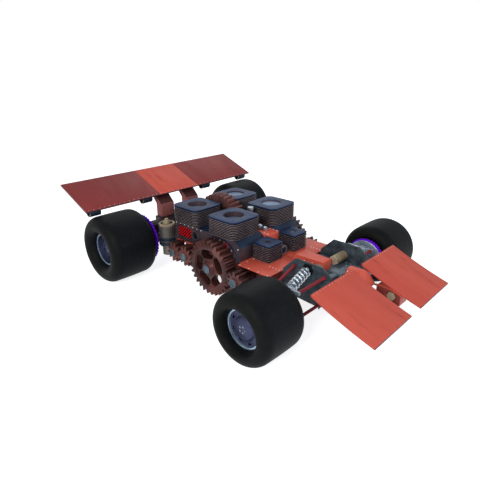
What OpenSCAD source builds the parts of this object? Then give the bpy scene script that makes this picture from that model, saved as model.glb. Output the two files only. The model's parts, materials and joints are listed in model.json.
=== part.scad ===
// Open wheel racing car with an exposed block engine, gear drives and flat panel wings.
// Millimetres. +X points forward, +Y to the left, +Z up. The origin is on the ground,
// midway along the car and on its centre line.

/* [Wheels] */
// Front axle position along the car
front_axle_x = 813; // [780:1:850]
// Rear axle position along the car
rear_axle_x = -1026; // [-1060:1:-1000]
// Front wheel centre, out from the centre line
front_wheel_y = 868; // [850:1:900]
// Rear wheel centre, out from the centre line
rear_wheel_y = 831; // [820:1:880]
// Front tyre radius
front_tyre_r = 277; // [230:1:335]
// Front tyre width
front_tyre_w = 445; // [360:1:460]
// Rear tyre radius
rear_tyre_r = 323; // [270:1:390]
// Rear tyre width
rear_tyre_w = 472; // [380:1:480]
// Radius of the rounded tyre shoulders
shoulder_r = 84; // [60:1:90]
// Front rim radius at the tyre bead
front_rim_r = 150; // [130:1:160]
// Rear rim radius at the tyre bead
rear_rim_r = 155; // [130:1:165]
// Stub axle radius in the front hubs
front_stub_r = 28; // [20:1:34]
// Stub axle radius in the rear hubs
rear_stub_r = 32; // [22:1:38]
// Front brake disc radius
front_disc_r = 178; // [150:1:190]
// Rear brake disc radius
rear_disc_r = 238; // [180:1:242]

/* [Steering] */
// Kingpin axis, out from the centre line
kingpin_y = 570; // [560:1:575]
// Kingpin radius
kingpin_r = 12; // [8:1:15]
// Height of the kingpin lugs above and below the axle
kingpin_reach = 115; // [110:1:130]

/* [Wings] */
// Rear wing half span
rear_wing_half = 1093; // [900:1:1200]
// Rear wing chord
rear_wing_chord = 495; // [400:1:560]
// Rear wing thickness
rear_wing_t = 14; // [8:1:20]
// Rear wing tilt in degrees
rear_wing_tilt = 21.6; // [15:0.1:26]
// Rear wing centre panel half width
rear_centre_half = 254; // [230:1:320]
// Front wing outer end, out from the centre line
front_wing_outer = 611; // [500:1:700]
// Front wing chord along the car
front_wing_run = 499; // [400:1:560]
// Front wing fall from rear edge to front edge
front_wing_fall = 196; // [140:1:230]
// Front wing thickness
front_wing_t = 20; // [10:1:26]

/* [Engine] */
// Big cylinder head side
block_side = 345; // [280:1:350]
// Big cylinder centres, out from the centre line
block_y = 256; // [250:1:270]
// Rear big cylinders along the car
rear_block_x = -518; // [-530:1:-500]
// Front big cylinders along the car
front_block_x = -27; // [-40:1:-10]
// Big cylinder bore radius
bore_r = 93; // [60:1:110]
// Small cylinder side
small_side = 190; // [150:1:195]
// Small cylinder bore radius
small_bore_r = 27; // [15:1:40]
// Crankcase half width
crank_outer = 406; // [390:1:415]
// Height of the deck that carries the crankcases
deck_z = 370; // [350:1:380]
// Crankcase height
crank_h = 178; // [150:1:200]

/* [Gears] */
// Gear module
gear_module = 16.5; // [15:0.1:16.6]
// Teeth on the big side gears
big_teeth = 29; // [25:1:31]
// Teeth on the pinions
pinion_teeth = 10; // [9:1:11]
// Teeth on the centre gear
centre_teeth = 38; // [30:1:40]
// Outer face of the gears, out from the centre line
gear_face_y = 556; // [540:1:570]
// Width of the big side gears
gear_w = 124; // [90:1:126]
// Width of the centre gear
centre_gear_w = 110; // [60:1:120]
// Gear shaft radius
shaft_r = 24; // [16:1:28]

/* [Body] */
// Tub half width
tub_half = 280; // [240:1:285]
// Spine half width between the cylinder banks
spine_half = 75; // [60:1:76]
// Spine height
spine_z = 538; // [500:1:560]
// Cowl height between the bulkheads
cowl_z = 440; // [420:1:460]
// Bulkhead plate, inner face out from the centre line
plate_y = 266; // [250:1:275]
// Bulkhead plate thickness
plate_t = 10; // [6:1:14]
// Front floor height
floor_z = 350; // [330:1:356]

/* [Hidden] */
$fn = 96;

left = 1;
right = -1;
sides = [left, right];
eps = 0.01;
seat_gap = 0.3;      // round seats and pieces that rest against each other
run_clear = 0.05;    // radial running clearance on shafts and pins
clear = 8;           // room between fixed and moving pieces

// ---- wheels -------------------------------------------------------------
shoulder_steps = 18; // facets of the round shoulder
sidewall_steps = 12; // facets of the sidewall between its crest and the bead
rim_wall = 10;
rim_lip = 3;         // rim edge standing out past the bead
disc_t = 12;         // wheel disc
stub_cap = 8;        // hub left closed beyond the stub axle
front_disc_inset = 92;
rear_disc_inset = 128;
brake_t = 18;
front_hub_r = 50;
rear_hub_r = 56;
slot_count = 8;
slot_l = 30;
slot_w = 15;
slot_pitch_r = 118;
hub_face_r = 36;
hub_bolt_circle_r = 24;
hub_bolt_r = 6;
hub_bolts = 5;
front_disc_in = 610; // inner face of the front brake discs
rear_disc_in = 540;  // inner face of the rear brake discs
brake_teeth = 40;
brake_tooth_h = 8;

// ---- knuckles and carriers ---------------------------------------------
knuckle_half_x = 44;
knuckle_in = 545;
knuckle_out = front_disc_in - clear;
lug_r = 20;
lug_t = 26;
carrier_in = 500;
carrier_out = 522;
carrier_half = 48;
arm_in = carrier_in;
arm_out = carrier_out;
arm_half = 15;
lower_rods = [[914, 186], [706, 225]];
upper_rods_in = [[671, 450], [956, 441]];
upper_rods_out = [690, 904];
upper_rod_end_y = 534;
rod_r = 13;
rod_boss_r = 17;
rod_boss_l = 12;
spring_in = [802, 458];
spring_out = [795, 375];
spring_r = 45;
spring_wire_r = 7;
spring_rings = 7;
spring_cap_r = 22;
spring_cap_l = 14;

// ---- gears --------------------------------------------------------------
pressure_angle = 28;
addendum = 0.8 * gear_module;
dedendum = 1.25 * gear_module;
half_backlash = 0.9;
big_gear_at = [-50, 288];
big_gear_r = gear_module * big_teeth / 2;
pinion_r = gear_module * pinion_teeth / 2;
mesh_distance = big_gear_r + pinion_r;
rear_mesh_angle = 177;
front_mesh_angle = -4.7;
pinion_step_angle = 181;
mid_pinion_at = big_gear_at + mesh_distance * [cos(rear_mesh_angle), sin(rear_mesh_angle)];
rear_pinion_at = mid_pinion_at + 2 * pinion_r * [cos(pinion_step_angle), sin(pinion_step_angle)];
front_pinion_at = big_gear_at + mesh_distance * [cos(front_mesh_angle), sin(front_mesh_angle)];
centre_gear_at = [-440, 450];
centre_gear_tip_r = gear_module * centre_teeth / 2 + addendum;
shaft_end_r = 38;
shaft_end_y = gear_face_y + 24;
pinion_in = gear_face_y - 116;
front_pinion_in = gear_face_y - 156;
front_collar_in = gear_face_y - 211;
web_recess = 10;
web_t = 84;
rim_in_r = 180;
boss_r = 70;
oval_pitch_r = 126;
oval_r = 41;
oval_half_l = 37;
ovals = 5;

// ---- body ---------------------------------------------------------------
tub_x = [-700, 551];
tub_bottom_z = 110;
deck_t = 6;
deck_half = 450;
deck_plate_z = [deck_z - deck_t - eps, deck_z];
deck_skirt = 120;
deck_step_x = 204;   // the deck widens ahead of the big gears
flange_half = 424;
flange_x = [-660, -320];
crank_x = [-690, 190];
crank_in = spine_half + 5;
crank_top_z = deck_z + crank_h;
crank_chamfer = [50, 55];
port_at = [-385, 466];
port_r = 34;
port_deep = 26;
grille_x = [-640, -448];
grille_z = [410, 512];
grille_deep = 14;
arch_from_x = -400;
arch_r = 250;
arch_t = 18;
gear_slot_half = centre_gear_w / 2 + clear;
gear_slot_x = [centre_gear_at[0] - centre_gear_tip_r - clear,
               centre_gear_at[0] + centre_gear_tip_r + clear];
spine_x = [gear_slot_x[1] + 2, 225];
cowl_x = [520, 795];
floor_t = 12;
nose_x = [1005, 1410];
hood_end_x = 1190;
hood_slope_x = 1104;
hood_top_z = 460;
hood_bottom_z = 231;
hood_face_x = 1172;
nose_lip_z = [336, 350];
nose_rail_z = [231, 256];
nose_box_x = 1213;
nose_box_y = [62, 181];
nose_box_top_z = 346;
nose_box_meet_x = 1342;
nose_bore = [1332, 285];
nose_bore_r = 44;
nose_bore_deep = 24;
floor_x = [560, nose_x[0]];
nose_half = 74.7;
front_wing_x = [1563 - front_wing_run, 1563];
front_wing_rear_z = 474;
front_wing_sag = 10;
front_wing_in = nose_half + seat_gap;
rear_wing_at = [-1098, 700];
block_top_z = 715;
right_bore_deep = 50;
left_bore_deep = 16; // the left bores are plugged near the top
small_bore_deep = 90;
fin_count = 12;
starter_x = 340;
small_x = 303;
small_y = 173;
small_top_z = 527;
axle_beam_x = [-1100, -960];
axle_beam_half = rear_disc_in - clear;
gearbox_x = -1210;
gearbox_half = 272;
axle_beam_z = [250, 445];
post_y = [90, 253];
post_x = [-1200, -1105];
post_top_z = 583;
post_head_x = [-1400, -1283];
tube_y = [345, 930];  // tubes under the rear wing
tube_r = 40;
tube_wall = 9;
canister_at = [-762, 450];
canister_r = 82;

function involute(a) = tan(a) - a * PI / 180;
// Half angle of a tooth at radius r
function tooth_half_angle(teeth, r) =
    let (pitch_r = gear_module * teeth / 2,
         base_r = pitch_r * cos(pressure_angle),
         a = acos(min(1, base_r / r)))
    90 / teeth + (involute(pressure_angle) - involute(a) - half_backlash / pitch_r) * 180 / PI;
function polar(r, a) = [r * cos(a), r * sin(a)];
// Flank radii from the root to the tip
function flank_radii(teeth) =
    let (pitch_r = gear_module * teeth / 2,
         base_r = pitch_r * cos(pressure_angle),
         root = pitch_r - dedendum,
         start = max(base_r, root + 1),
         tip = pitch_r + addendum)
    concat([root], [for (i = [0 : 4]) start + (tip - start) * i / 4]);
function tooth_points(teeth, phase) =
    let (radii = flank_radii(teeth),
         n = len(radii),
         half = [for (r = radii) tooth_half_angle(teeth, max(r, radii[1]))])
    concat([for (i = [0 : n - 1]) polar(radii[i], phase - half[i])],
           [for (i = [n - 1 : -1 : 0]) polar(radii[i], phase + half[i])]);
function gear_points(teeth, phase) =
    [for (i = [0 : teeth - 1]) each tooth_points(teeth, phase + 360 * i / teeth)];
// Phase of a gear that meshes with one of phase first, in direction theta from its centre
function mesh_phase(theta, first, first_teeth, teeth) =
    theta + 180 - 360 / teeth * (0.5 - (theta - first) * first_teeth / 360);
big_phase = 4;
mid_phase = mesh_phase(rear_mesh_angle, big_phase, big_teeth, pinion_teeth);
front_phase = mesh_phase(front_mesh_angle, big_phase, big_teeth, pinion_teeth);
rear_phase = mesh_phase(pinion_step_angle, mid_phase, pinion_teeth, pinion_teeth);

// Turns the extrusion axis outwards on one side: local z runs out, local x forward, local y up
module outward(side) {
    if (side == right) rotate([90, 0, 0]) children();
    else mirror([0, 1, 0]) rotate([90, 0, 0]) children();
}
module cyl_y(r, x, z, y0, y1) {
    translate([x, y0, z]) rotate([-90, 0, 0]) cylinder(r = r, h = y1 - y0);
}
module block(x, y, z) {
    translate([x[0], y[0], z[0]]) cube([x[1] - x[0], y[1] - y[0], z[1] - z[0]]);
}
module on_side(side) {
    if (side == left) children();
    else mirror([0, 1, 0]) children();
}
module rounded_square(side, r) {
    square([side - 2 * r, side], center = true);
    square([side, side - 2 * r], center = true);
    for (x = [-1, 1], y = [-1, 1])
        translate([x * (side / 2 - r), y * (side / 2 - r)]) circle(r);
}

// ---- wheels -------------------------------------------------------------
module tyre(r, w, rim_r) {
    crest = r - shoulder_r;
    tread = w / 2 - shoulder_r;
    wall_foot = rim_r + rim_lip + 1;
    outline = [
        for (i = [0 : shoulder_steps], a = 90 * i / shoulder_steps)
            [crest + shoulder_r * cos(a), tread + shoulder_r * sin(a)],
        for (i = [1 : sidewall_steps], a = 90 - 90 * i / sidewall_steps)
            [crest - (crest - wall_foot) * cos(a), tread + shoulder_r * sin(a)],
        [rim_r, tread]];
    mirrored = [for (i = [len(outline) - 1 : -1 : 0]) [outline[i][0], -outline[i][1]]];
    color("#23282a") rotate_extrude($fn = 128) polygon(concat(outline, mirrored));
}
module rim(w, rim_r, inset, hub_r, stub_r, disc_from, dome_r) {
    top = w / 2 - inset;
    seat = rim_r - seat_gap;
    bead = w / 2 - shoulder_r;
    color("#3c4155") difference() {
        union() {
            rotate_extrude() {
                translate([seat - rim_wall, -bead]) square([rim_wall, 2 * bead]);
                translate([seat - rim_wall, bead - eps]) square([rim_wall, 9]);
                translate([seat - eps, bead + 1]) square([rim_lip, 8]);
                translate([0, top - disc_t]) square([seat - rim_wall + eps, disc_t]);
            }
            translate([0, 0, top - eps]) cylinder(r1 = dome_r, r2 = dome_r * 0.8, h = 14);
            translate([0, 0, top + 14 - 2 * eps]) cylinder(r1 = dome_r * 0.8, r2 = hub_face_r, h = 12);
            translate([0, 0, disc_from]) cylinder(r = hub_r - seat_gap, h = top - disc_from - disc_t + eps);
            translate([0, 0, disc_from + brake_t]) cylinder(r = hub_r + 20, h = 12);
        }
        translate([0, 0, disc_from - 1])
            cylinder(r = stub_r + run_clear, h = top - disc_t - stub_cap - disc_from + 1);
        for (i = [0 : slot_count - 1])
            rotate([0, 0, 360 / slot_count * (i + 0.5)])
                translate([slot_pitch_r * rim_r / front_rim_r, 0, top - disc_t / 2])
                    cube([slot_w, slot_l, disc_t + 4], center = true);
        for (i = [0 : hub_bolts - 1])
            rotate([0, 0, 360 / hub_bolts * i])
                translate([hub_bolt_circle_r, 0, top + 2]) cylinder(r = hub_bolt_r, h = 30);
    }
}
module brake_disc(r, hub_r) {
    tooth_angle = 360 / brake_teeth;
    color("#3c0082") difference() {
        linear_extrude(brake_t) polygon([
            for (i = [0 : brake_teeth - 1], p = [[0, 0], [0.12, 1], [0.5, 1], [0.62, 0]])
                polar(r - brake_tooth_h * (1 - p[1]), tooth_angle * (i + p[0]))]);
        translate([0, 0, -1]) cylinder(r = hub_r, h = brake_t + 2);
    }
}
module front_wheel_at(side) {
    translate([front_axle_x, side * front_wheel_y, front_tyre_r]) outward(side) children();
}
module rear_wheel_at(side) {
    translate([rear_axle_x, side * rear_wheel_y, rear_tyre_r]) outward(side) children();
}
module tyre_front(side) {
    front_wheel_at(side) tyre(front_tyre_r, front_tyre_w, front_rim_r);
}
module tyre_rear(side) {
    rear_wheel_at(side) tyre(rear_tyre_r, rear_tyre_w, rear_rim_r);
}
module rim_front(side) {
    front_wheel_at(side) rim(front_tyre_w, front_rim_r, front_disc_inset,
        front_hub_r, front_stub_r, front_disc_in - front_wheel_y, 95);
}
module rim_rear(side) {
    rear_wheel_at(side) rim(rear_tyre_w, rear_rim_r, rear_disc_inset,
        rear_hub_r, rear_stub_r, rear_disc_in - rear_wheel_y, 90);
}
module disc_front(side) {
    front_wheel_at(side) translate([0, 0, front_disc_in - front_wheel_y])
        brake_disc(front_disc_r, front_hub_r);
}
module disc_rear(side) {
    rear_wheel_at(side) translate([0, 0, rear_disc_in - rear_wheel_y])
        brake_disc(rear_disc_r, rear_hub_r);
}

// ---- front suspension and steering --------------------------------------
lug_z = [front_tyre_r - kingpin_reach, front_tyre_r + kingpin_reach];
module knuckle(side) {
    stub_end = front_wheel_y + front_tyre_w / 2 - front_disc_inset - 24;
    color("#a8b2bd") on_side(side) {
        difference() {
            union() {
                block([front_axle_x - knuckle_half_x, front_axle_x + knuckle_half_x],
                      [knuckle_in, knuckle_out], [front_tyre_r - 90, front_tyre_r + 90]);
                for (z = [lug_z[0] + lug_t / 2 + 2, front_tyre_r + 90 - eps])
                    translate([front_axle_x, kingpin_y, z])
                        cylinder(r = lug_r, h = kingpin_reach - lug_t / 2 - 92 + eps);
                cyl_y(front_stub_r, front_axle_x, front_tyre_r, knuckle_out - eps, stub_end);
                cyl_y(front_stub_r + 8, front_axle_x, front_tyre_r, knuckle_out - eps, knuckle_out + 4);
            }
        }
        translate([front_axle_x, kingpin_y, lug_z[0] - lug_t / 2])
            cylinder(r = kingpin_r, h = lug_t + 4);
        translate([front_axle_x, kingpin_y, lug_z[1] - lug_t / 2 - 4])
            cylinder(r = kingpin_r, h = lug_t + 4);
        // steering arm to the rear
        block([front_axle_x - 120, front_axle_x - knuckle_half_x + eps], [knuckle_in, knuckle_in + 16],
              [front_tyre_r + 20, front_tyre_r + 44]);
    }
}
// Arm from the carrier plate to a lower rod's end
module carrier_arm(rod_end) {
    cx = front_axle_x;
    x = rod_end[0] > cx ? [cx, rod_end[0] + arm_half] : [rod_end[0] - arm_half, cx];
    block(x, [arm_in, arm_out], [rod_end[1] - arm_half, rod_end[1] + arm_half]);
}
module carrier(side) {
    cx = front_axle_x;
    half_t = lug_t / 2;
    color("#9aa4b0") on_side(side) difference() {
        union() {
            block([cx - carrier_half, cx + carrier_half], [carrier_in, carrier_out],
                  [lug_z[0] - half_t, lug_z[1] + half_t]);
            for (p = lower_rods)
                carrier_arm(p);
            block([upper_rods_out[0] - arm_half, upper_rods_out[1] + arm_half],
                  [upper_rod_end_y - 10, upper_rod_end_y + 10], [lug_z[1] - half_t, lug_z[1] + half_t]);
            for (z = lug_z) {
                translate([cx, kingpin_y, z - half_t]) cylinder(r = lug_r, h = lug_t);
                block([cx - lug_r, cx + lug_r], [carrier_out - eps, kingpin_y], [z - half_t, z + half_t]);
            }
        }
        for (z = lug_z)
            translate([cx, kingpin_y, z - lug_t]) cylinder(r = kingpin_r + run_clear, h = 2 * lug_t);
    }
}
// Round bar between two points
module bar(r, from, to) {
    d = to - from;
    translate(from) rotate([0, acos(d[2] / norm(d)), atan2(d[1], d[0])]) cylinder(r = r, h = norm(d));
}
plate_face_y = plate_y + plate_t;
module suspension_rods() {
    color("#78232d") for (s = sides) on_side(s) {
        for (p = lower_rods)
            cyl_y(rod_r, p[0], p[1], plate_face_y, arm_in);
        for (i = [0, 1]) {
            p = upper_rods_in[i];
            end_y = upper_rod_end_y - 10;
            cyl_y(rod_boss_r, p[0], p[1], plate_face_y, plate_face_y + rod_boss_l);
            bar(rod_r, [p[0], plate_face_y + rod_boss_l / 2, p[1]],
                [upper_rods_out[i], end_y - rod_boss_l / 2, lug_z[1]]);
            cyl_y(rod_boss_r, upper_rods_out[i], lug_z[1], end_y - rod_boss_l, end_y);
        }
    }
}
module coil_springs() {
    core_r = spring_r - 2 * spring_wire_r + 1;
    from = [spring_in[0], plate_face_y + spring_cap_l, spring_in[1]];
    to = [spring_out[0], carrier_in - spring_cap_l, spring_out[1]];
    d = to - from;
    color("#c8ccd2") for (s = sides) on_side(s) {
        cyl_y(spring_cap_r, from[0], from[2], plate_face_y, from[1] + 2);
        cyl_y(spring_cap_r, to[0], to[2], to[1] - 2, carrier_in);
        bar(spring_cap_r - 6, from, to);
        bar(core_r, from + d * 0.08, to - d * 0.08);
        for (i = [1 : spring_rings])
            translate(from + d * i / (spring_rings + 1))
                rotate([0, acos(d[2] / norm(d)), atan2(d[1], d[0])])
                    rotate_extrude() translate([spring_r - spring_wire_r, 0]) circle(spring_wire_r, $fn = 24);
    }
}
module bulkhead(side) {
    color("#37414a") on_side(side) translate([0, plate_y + plate_t, 0]) rotate([90, 0, 0])
        linear_extrude(plate_t) polygon([[555, 394], [680, 519], [934, 514], [1019, 446],
            [1040, 300], [929, 166], [704, 179], [555, 261]]);
}
module front_floor() {
    color("#5a6570") {
        block(floor_x, [-plate_y, plate_y], [floor_z - floor_t, floor_z]);
    }
}
module rack_housing() {
    color("#7d8894") {
        block([880, 930], [-170, 170], [floor_z, floor_z + 26]);
        block([850, 960], [-40, 40], [floor_z, floor_z + 34]);
    }
}
module ribbed_cylinders() {
    ribs = 9;
    cx = 792;
    r = 42;
    hex_in = 100;
    rib_from = hex_in + 26;
    cz = floor_z + r + 14;
    pitch = (plate_y - rib_from) / ribs;
    color("#a5967d") for (s = sides) on_side(s) translate([cx, 0, cz]) rotate([-90, 0, 0]) {
        translate([0, 0, hex_in]) cylinder(r = r, h = 28, $fn = 6);
        translate([0, 0, rib_from]) cylinder(r = r - 8, h = plate_y - rib_from);
        for (i = [0 : ribs - 1])
            translate([0, 0, rib_from + pitch * (i + 0.2)]) cylinder(r = r, h = pitch * 0.5);
    }
}

// ---- body ---------------------------------------------------------------
module tub() {
    color("#b04838") difference() {
        union() {
            block(tub_x, [-tub_half, tub_half], [tub_bottom_z, deck_z - deck_t]);
            block([flange_x[1] - eps, crank_x[1]], [-crank_outer, crank_outer], deck_plate_z);
            block(flange_x, [-flange_half, flange_half], deck_plate_z);
            block([tub_x[0], flange_x[0] + eps], [-tub_half, tub_half], deck_plate_z);
        }
        block([tub_x[0] - 1, gear_slot_x[1]], [-gear_slot_half, gear_slot_half],
              [tub_bottom_z - 1, deck_z + 1]);
    }
}
module side_deck(side) {
    color("#cd5a46") on_side(side) {
        block([crank_x[1], deck_step_x + eps], [0, crank_outer], [deck_z - deck_t, deck_z]);
        block([deck_step_x, tub_x[1]], [0, deck_half], [deck_z - deck_t, deck_z]);
        block([tub_x[1] - deck_t, tub_x[1]], [tub_half, deck_half - 20],
              [deck_z - deck_skirt, deck_z - deck_t + eps]);
    }
}
module spine() {
    color("#c85542") block(spine_x, [-spine_half, spine_half], [deck_z, spine_z]);
}
module cowl() {
    rear = 92;
    front = 64;
    lip = 26;
    color("#cd5a46") {
        translate([0, 0, deck_z]) linear_extrude(cowl_z - lip - deck_z) polygon(
            [[cowl_x[0], -rear], [cowl_x[1], -front], [cowl_x[1], front], [cowl_x[0], rear]]);
        block([floor_x[0], cowl_x[1]], [-front, front], [floor_z, deck_z + eps]);
        translate([0, 0, cowl_z - lip - eps]) linear_extrude(lip) polygon([
            [cowl_x[0], -rear + lip], [cowl_x[1], -front + 6],
            [cowl_x[1], front - 6], [cowl_x[0], rear - lip]]);
    }
}
module nose_cone() {
    side_cut = 2 * nose_half + 2;
    color("#c8503e") {
        difference() {
            translate([nose_x[0], 0, 0]) rotate([90, 0, 90]) linear_extrude(hood_end_x - nose_x[0]) {
                translate([0, hood_top_z - nose_half]) circle(nose_half);
                translate([-nose_half, hood_bottom_z])
                    square([2 * nose_half, hood_top_z - nose_half - hood_bottom_z]);
            }
            translate([0, nose_half + 1, 0]) rotate([90, 0, 0]) linear_extrude(side_cut) polygon([
                [hood_slope_x, hood_top_z + 1], [hood_end_x + 1, nose_lip_z[1]],
                [hood_end_x + 1, hood_top_z + 1]]);
            block([hood_face_x, hood_end_x + 1], [-nose_half - 1, nose_half + 1],
                  [hood_bottom_z - 1, nose_lip_z[0]]);
        }
        for (s = sides) on_side(s) {
            block([hood_face_x - 10, nose_box_x + eps], [nose_box_y[0], nose_half], nose_lip_z);
            block([hood_face_x - 10, nose_box_x + eps], [nose_box_y[0], nose_half], nose_rail_z);
            nose_box();
        }
    }
}
// Box that carries a front wing, its top following the wing's underside
module nose_box() {
    t0 = (nose_box_meet_x - front_wing_x[0]) / front_wing_run;
    t1 = (nose_x[1] - front_wing_x[0]) / front_wing_run;
    difference() {
        translate([0, nose_box_y[1], 0]) rotate([90, 0, 0]) linear_extrude(nose_box_y[1] - nose_box_y[0])
            polygon(concat([[nose_box_x, nose_rail_z[0]], [nose_box_x, nose_box_top_z]],
                [for (i = [0 : 3]) wing_underside(t0 + (t1 - t0) * i / 3) - [0, seat_gap]],
                [[nose_x[1], nose_rail_z[0]]]));
        cyl_y(nose_bore_r, nose_bore[0], nose_bore[1], nose_box_y[0] - 1, nose_box_y[0] + nose_bore_deep);
    }
}
module nose_plug() {
    color("#a5967d") for (s = sides) on_side(s)
        translate([nose_bore[0], nose_box_y[0] + nose_bore_deep, nose_bore[1]]) rotate([90, 0, 0]) {
            cylinder(r = nose_bore_r - 6, h = 18, $fn = 6);
            cylinder(r = 14, h = 21);
        }
}

// ---- wings --------------------------------------------------------------
function wing_line(t) = [front_wing_x[0] + front_wing_run * t,
    front_wing_rear_z - front_wing_fall * t - 4 * front_wing_sag * t * (1 - t)];
function wing_underside(t) = wing_line(t) - [0, front_wing_t * (1 - 0.35 * t)];
module front_wing(side) {
    steps = 12;
    color("#b9584e") on_side(side) translate([0, front_wing_outer, 0]) rotate([90, 0, 0])
        linear_extrude(front_wing_outer - front_wing_in) polygon(concat(
            [for (i = [0 : steps]) wing_line(i / steps)],
            [for (i = [steps : -1 : 0]) wing_underside(i / steps)]));
}
module rear_wing_panel(y0, y1) {
    translate([rear_wing_at[0], y0, rear_wing_at[1]]) rotate([0, rear_wing_tilt, 0])
        translate([-rear_wing_chord, 0, -rear_wing_t]) cube([rear_wing_chord, y1 - y0, rear_wing_t]);
}
module rear_wing_outer(side) {
    color("#873e3c") on_side(side) rear_wing_panel(rear_centre_half, rear_wing_half);
}
module rear_wing_centre() {
    color("#be5548") rear_wing_panel(-rear_centre_half, rear_centre_half);
}
// Height of the underside of the rear wing at x
function wing_under(x) = rear_wing_at[1] + (rear_wing_at[0] - x) * tan(rear_wing_tilt)
    - rear_wing_t / cos(rear_wing_tilt);
module wing_posts() {
    color("#623a38") for (s = sides) on_side(s) translate([0, post_y[1], 0]) rotate([90, 0, 0])
        linear_extrude(post_y[1] - post_y[0]) polygon([
            [post_x[0], axle_beam_z[1]], [post_x[1], axle_beam_z[1]], [post_x[1], post_top_z],
            [post_head_x[1], wing_under(post_head_x[1])],
            [post_head_x[0], wing_under(post_head_x[0])],
            [post_x[0], post_top_z]]);
}
module wing_brackets() {
    tube_l = 112;
    tube_x = rear_wing_at[0] - 64;
    color("#74706a") for (s = sides, y = tube_y) on_side(s)
        translate([tube_x, y, wing_under(tube_x) - (tube_r + seat_gap) / cos(rear_wing_tilt)])
            rotate([-90, 0, 0]) difference() {
                cylinder(r = tube_r, h = tube_l);
                translate([0, 0, -1]) cylinder(r = tube_r - tube_wall, h = tube_l + 2);
            }
}

// ---- engine -------------------------------------------------------------
module crankcase(side) {
    color("#41393d") on_side(side) difference() {
        union() {
            translate([0, crank_outer, 0]) rotate([90, 0, 0]) linear_extrude(crank_outer - crank_in)
                polygon([[crank_x[0], deck_z], [crank_x[1], deck_z],
                    [crank_x[1], crank_top_z - crank_chamfer[1]],
                    [crank_x[1] - crank_chamfer[0], crank_top_z], [crank_x[0], crank_top_z]]);
            intersection() {
                cyl_y(arch_r, big_gear_at[0], big_gear_at[1], crank_outer - 1, crank_outer + arch_t);
                block([arch_from_x, crank_x[1]], [crank_outer - 1, crank_outer + arch_t],
                      [deck_z, crank_top_z - 20]);
            }
        }
        cyl_y(port_r, port_at[0], port_at[1], crank_outer - port_deep, crank_outer + 1);
        block(grille_x, [crank_outer - grille_deep, crank_outer + 1], grille_z);
    }
}
module finned_block(side, height, corner_r, hole_r, hole_deep, foot) {
    pitch = (height - foot) / fin_count;
    core = side * 0.86;
    fin_t = pitch * 0.5;
    cap_t = pitch * 0.9;
    color("#3e506e") difference() {
        union() {
            linear_extrude(height) rounded_square(core, corner_r * 0.86);
            for (i = [0 : fin_count - 1])
                translate([0, 0, foot + pitch * i]) linear_extrude(fin_t) rounded_square(side, corner_r);
            translate([0, 0, height - cap_t]) linear_extrude(cap_t) rounded_square(side, corner_r);
        }
        translate([0, 0, height - hole_deep]) cylinder(r = hole_r, h = hole_deep + 1);
    }
}
module cylinder_block(x, side) {
    translate([x, side * block_y, crank_top_z])
        finned_block(block_side, block_top_z - crank_top_z, 58, bore_r,
            side == left ? left_bore_deep : right_bore_deep, 6);
}
module small_cylinder(side) {
    translate([small_x, side * small_y, deck_z])
        finned_block(small_side, small_top_z - deck_z, 14, small_bore_r, small_bore_deep, 14);
}
module starter_housing() {
    half = 62;
    base_h = 30;
    color("#544a4c") translate([spine_x[1], 0, deck_z]) rotate([90, 0, 90])
        linear_extrude(starter_x - spine_x[1]) {
            translate([-half, 0]) square([2 * half, base_h]);
            difference() {
                translate([0, base_h - 10]) circle(half);
                translate([-half - 1, -half]) square([2 * half + 2, half + 1]);
            }
        }
}
module spine_fittings() {
    color("#8c969c") {
        translate([60, 0, spine_z]) cylinder(r = 30, h = 36, $fn = 6);
        translate([120, 0, spine_z]) cylinder(r = 26, h = 30, $fn = 6);
        translate([-60, 0, spine_z]) cylinder(r = 18, h = 150);
        translate([-60, 0, spine_z + 150 - eps]) cylinder(r = 30, h = 34, $fn = 6);
    }
}

// ---- gears --------------------------------------------------------------
module shaft_end(face, hole_ring) {
    translate([0, 0, face - eps]) difference() {
        cylinder(r = shaft_end_r, h = shaft_end_y - face + eps);
        for (i = [0 : 7])
            rotate([0, 0, 45 * i]) translate([hole_ring, 0, shaft_end_y - face - 10])
                cylinder(r = 4, h = 12);
    }
}
module gear_at(at, side) {
    translate([at[0], 0, at[1]]) outward(side) children();
}
module pinion(side, at, phase, inner, collar_in) {
    color("#5f3732") gear_at(at, side) difference() {
        union() {
            translate([0, 0, inner]) linear_extrude(gear_face_y - inner)
                polygon(gear_points(pinion_teeth, phase));
            translate([0, 0, collar_in]) cylinder(r = pinion_r - dedendum - 4, h = inner - collar_in + eps);
            shaft_end(gear_face_y, 26);
        }
        translate([0, 0, collar_in - 1])
            cylinder(r = shaft_r + run_clear, h = gear_face_y - 20 - collar_in + 1);
    }
}
module big_gear(side) {
    inner = gear_face_y - gear_w;
    web_from = gear_face_y - web_recess - web_t;
    color("#5f3732") gear_at(big_gear_at, side) difference() {
        union() {
            translate([0, 0, inner]) linear_extrude(gear_w) difference() {
                polygon(gear_points(big_teeth, big_phase));
                circle(rim_in_r);
            }
            translate([0, 0, web_from]) linear_extrude(web_t) difference() {
                circle(rim_in_r + eps);
                for (i = [0 : ovals - 1]) rotate(360 / ovals * i + 26) translate([oval_pitch_r, 0]) {
                    square([2 * oval_r, 2 * oval_half_l], center = true);
                    for (s = [-1, 1]) translate([0, s * oval_half_l]) circle(oval_r);
                }
            }
            translate([0, 0, inner]) cylinder(r = boss_r - 20, h = web_from - inner + eps);
            translate([0, 0, web_from + web_t - eps]) cylinder(r1 = boss_r, r2 = shaft_end_r + 8, h = 24);
            shaft_end(gear_face_y, 26);
        }
        translate([0, 0, inner - 1]) cylinder(r = shaft_r + run_clear, h = gear_w - 20 + 1);
    }
}
module pinion_rear(side) { pinion(side, rear_pinion_at, rear_phase, pinion_in, pinion_in - eps); }
module pinion_mid(side) { pinion(side, mid_pinion_at, mid_phase, pinion_in, pinion_in - eps); }
module pinion_front(side) { pinion(side, front_pinion_at, front_phase, front_pinion_in, front_collar_in); }
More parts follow.
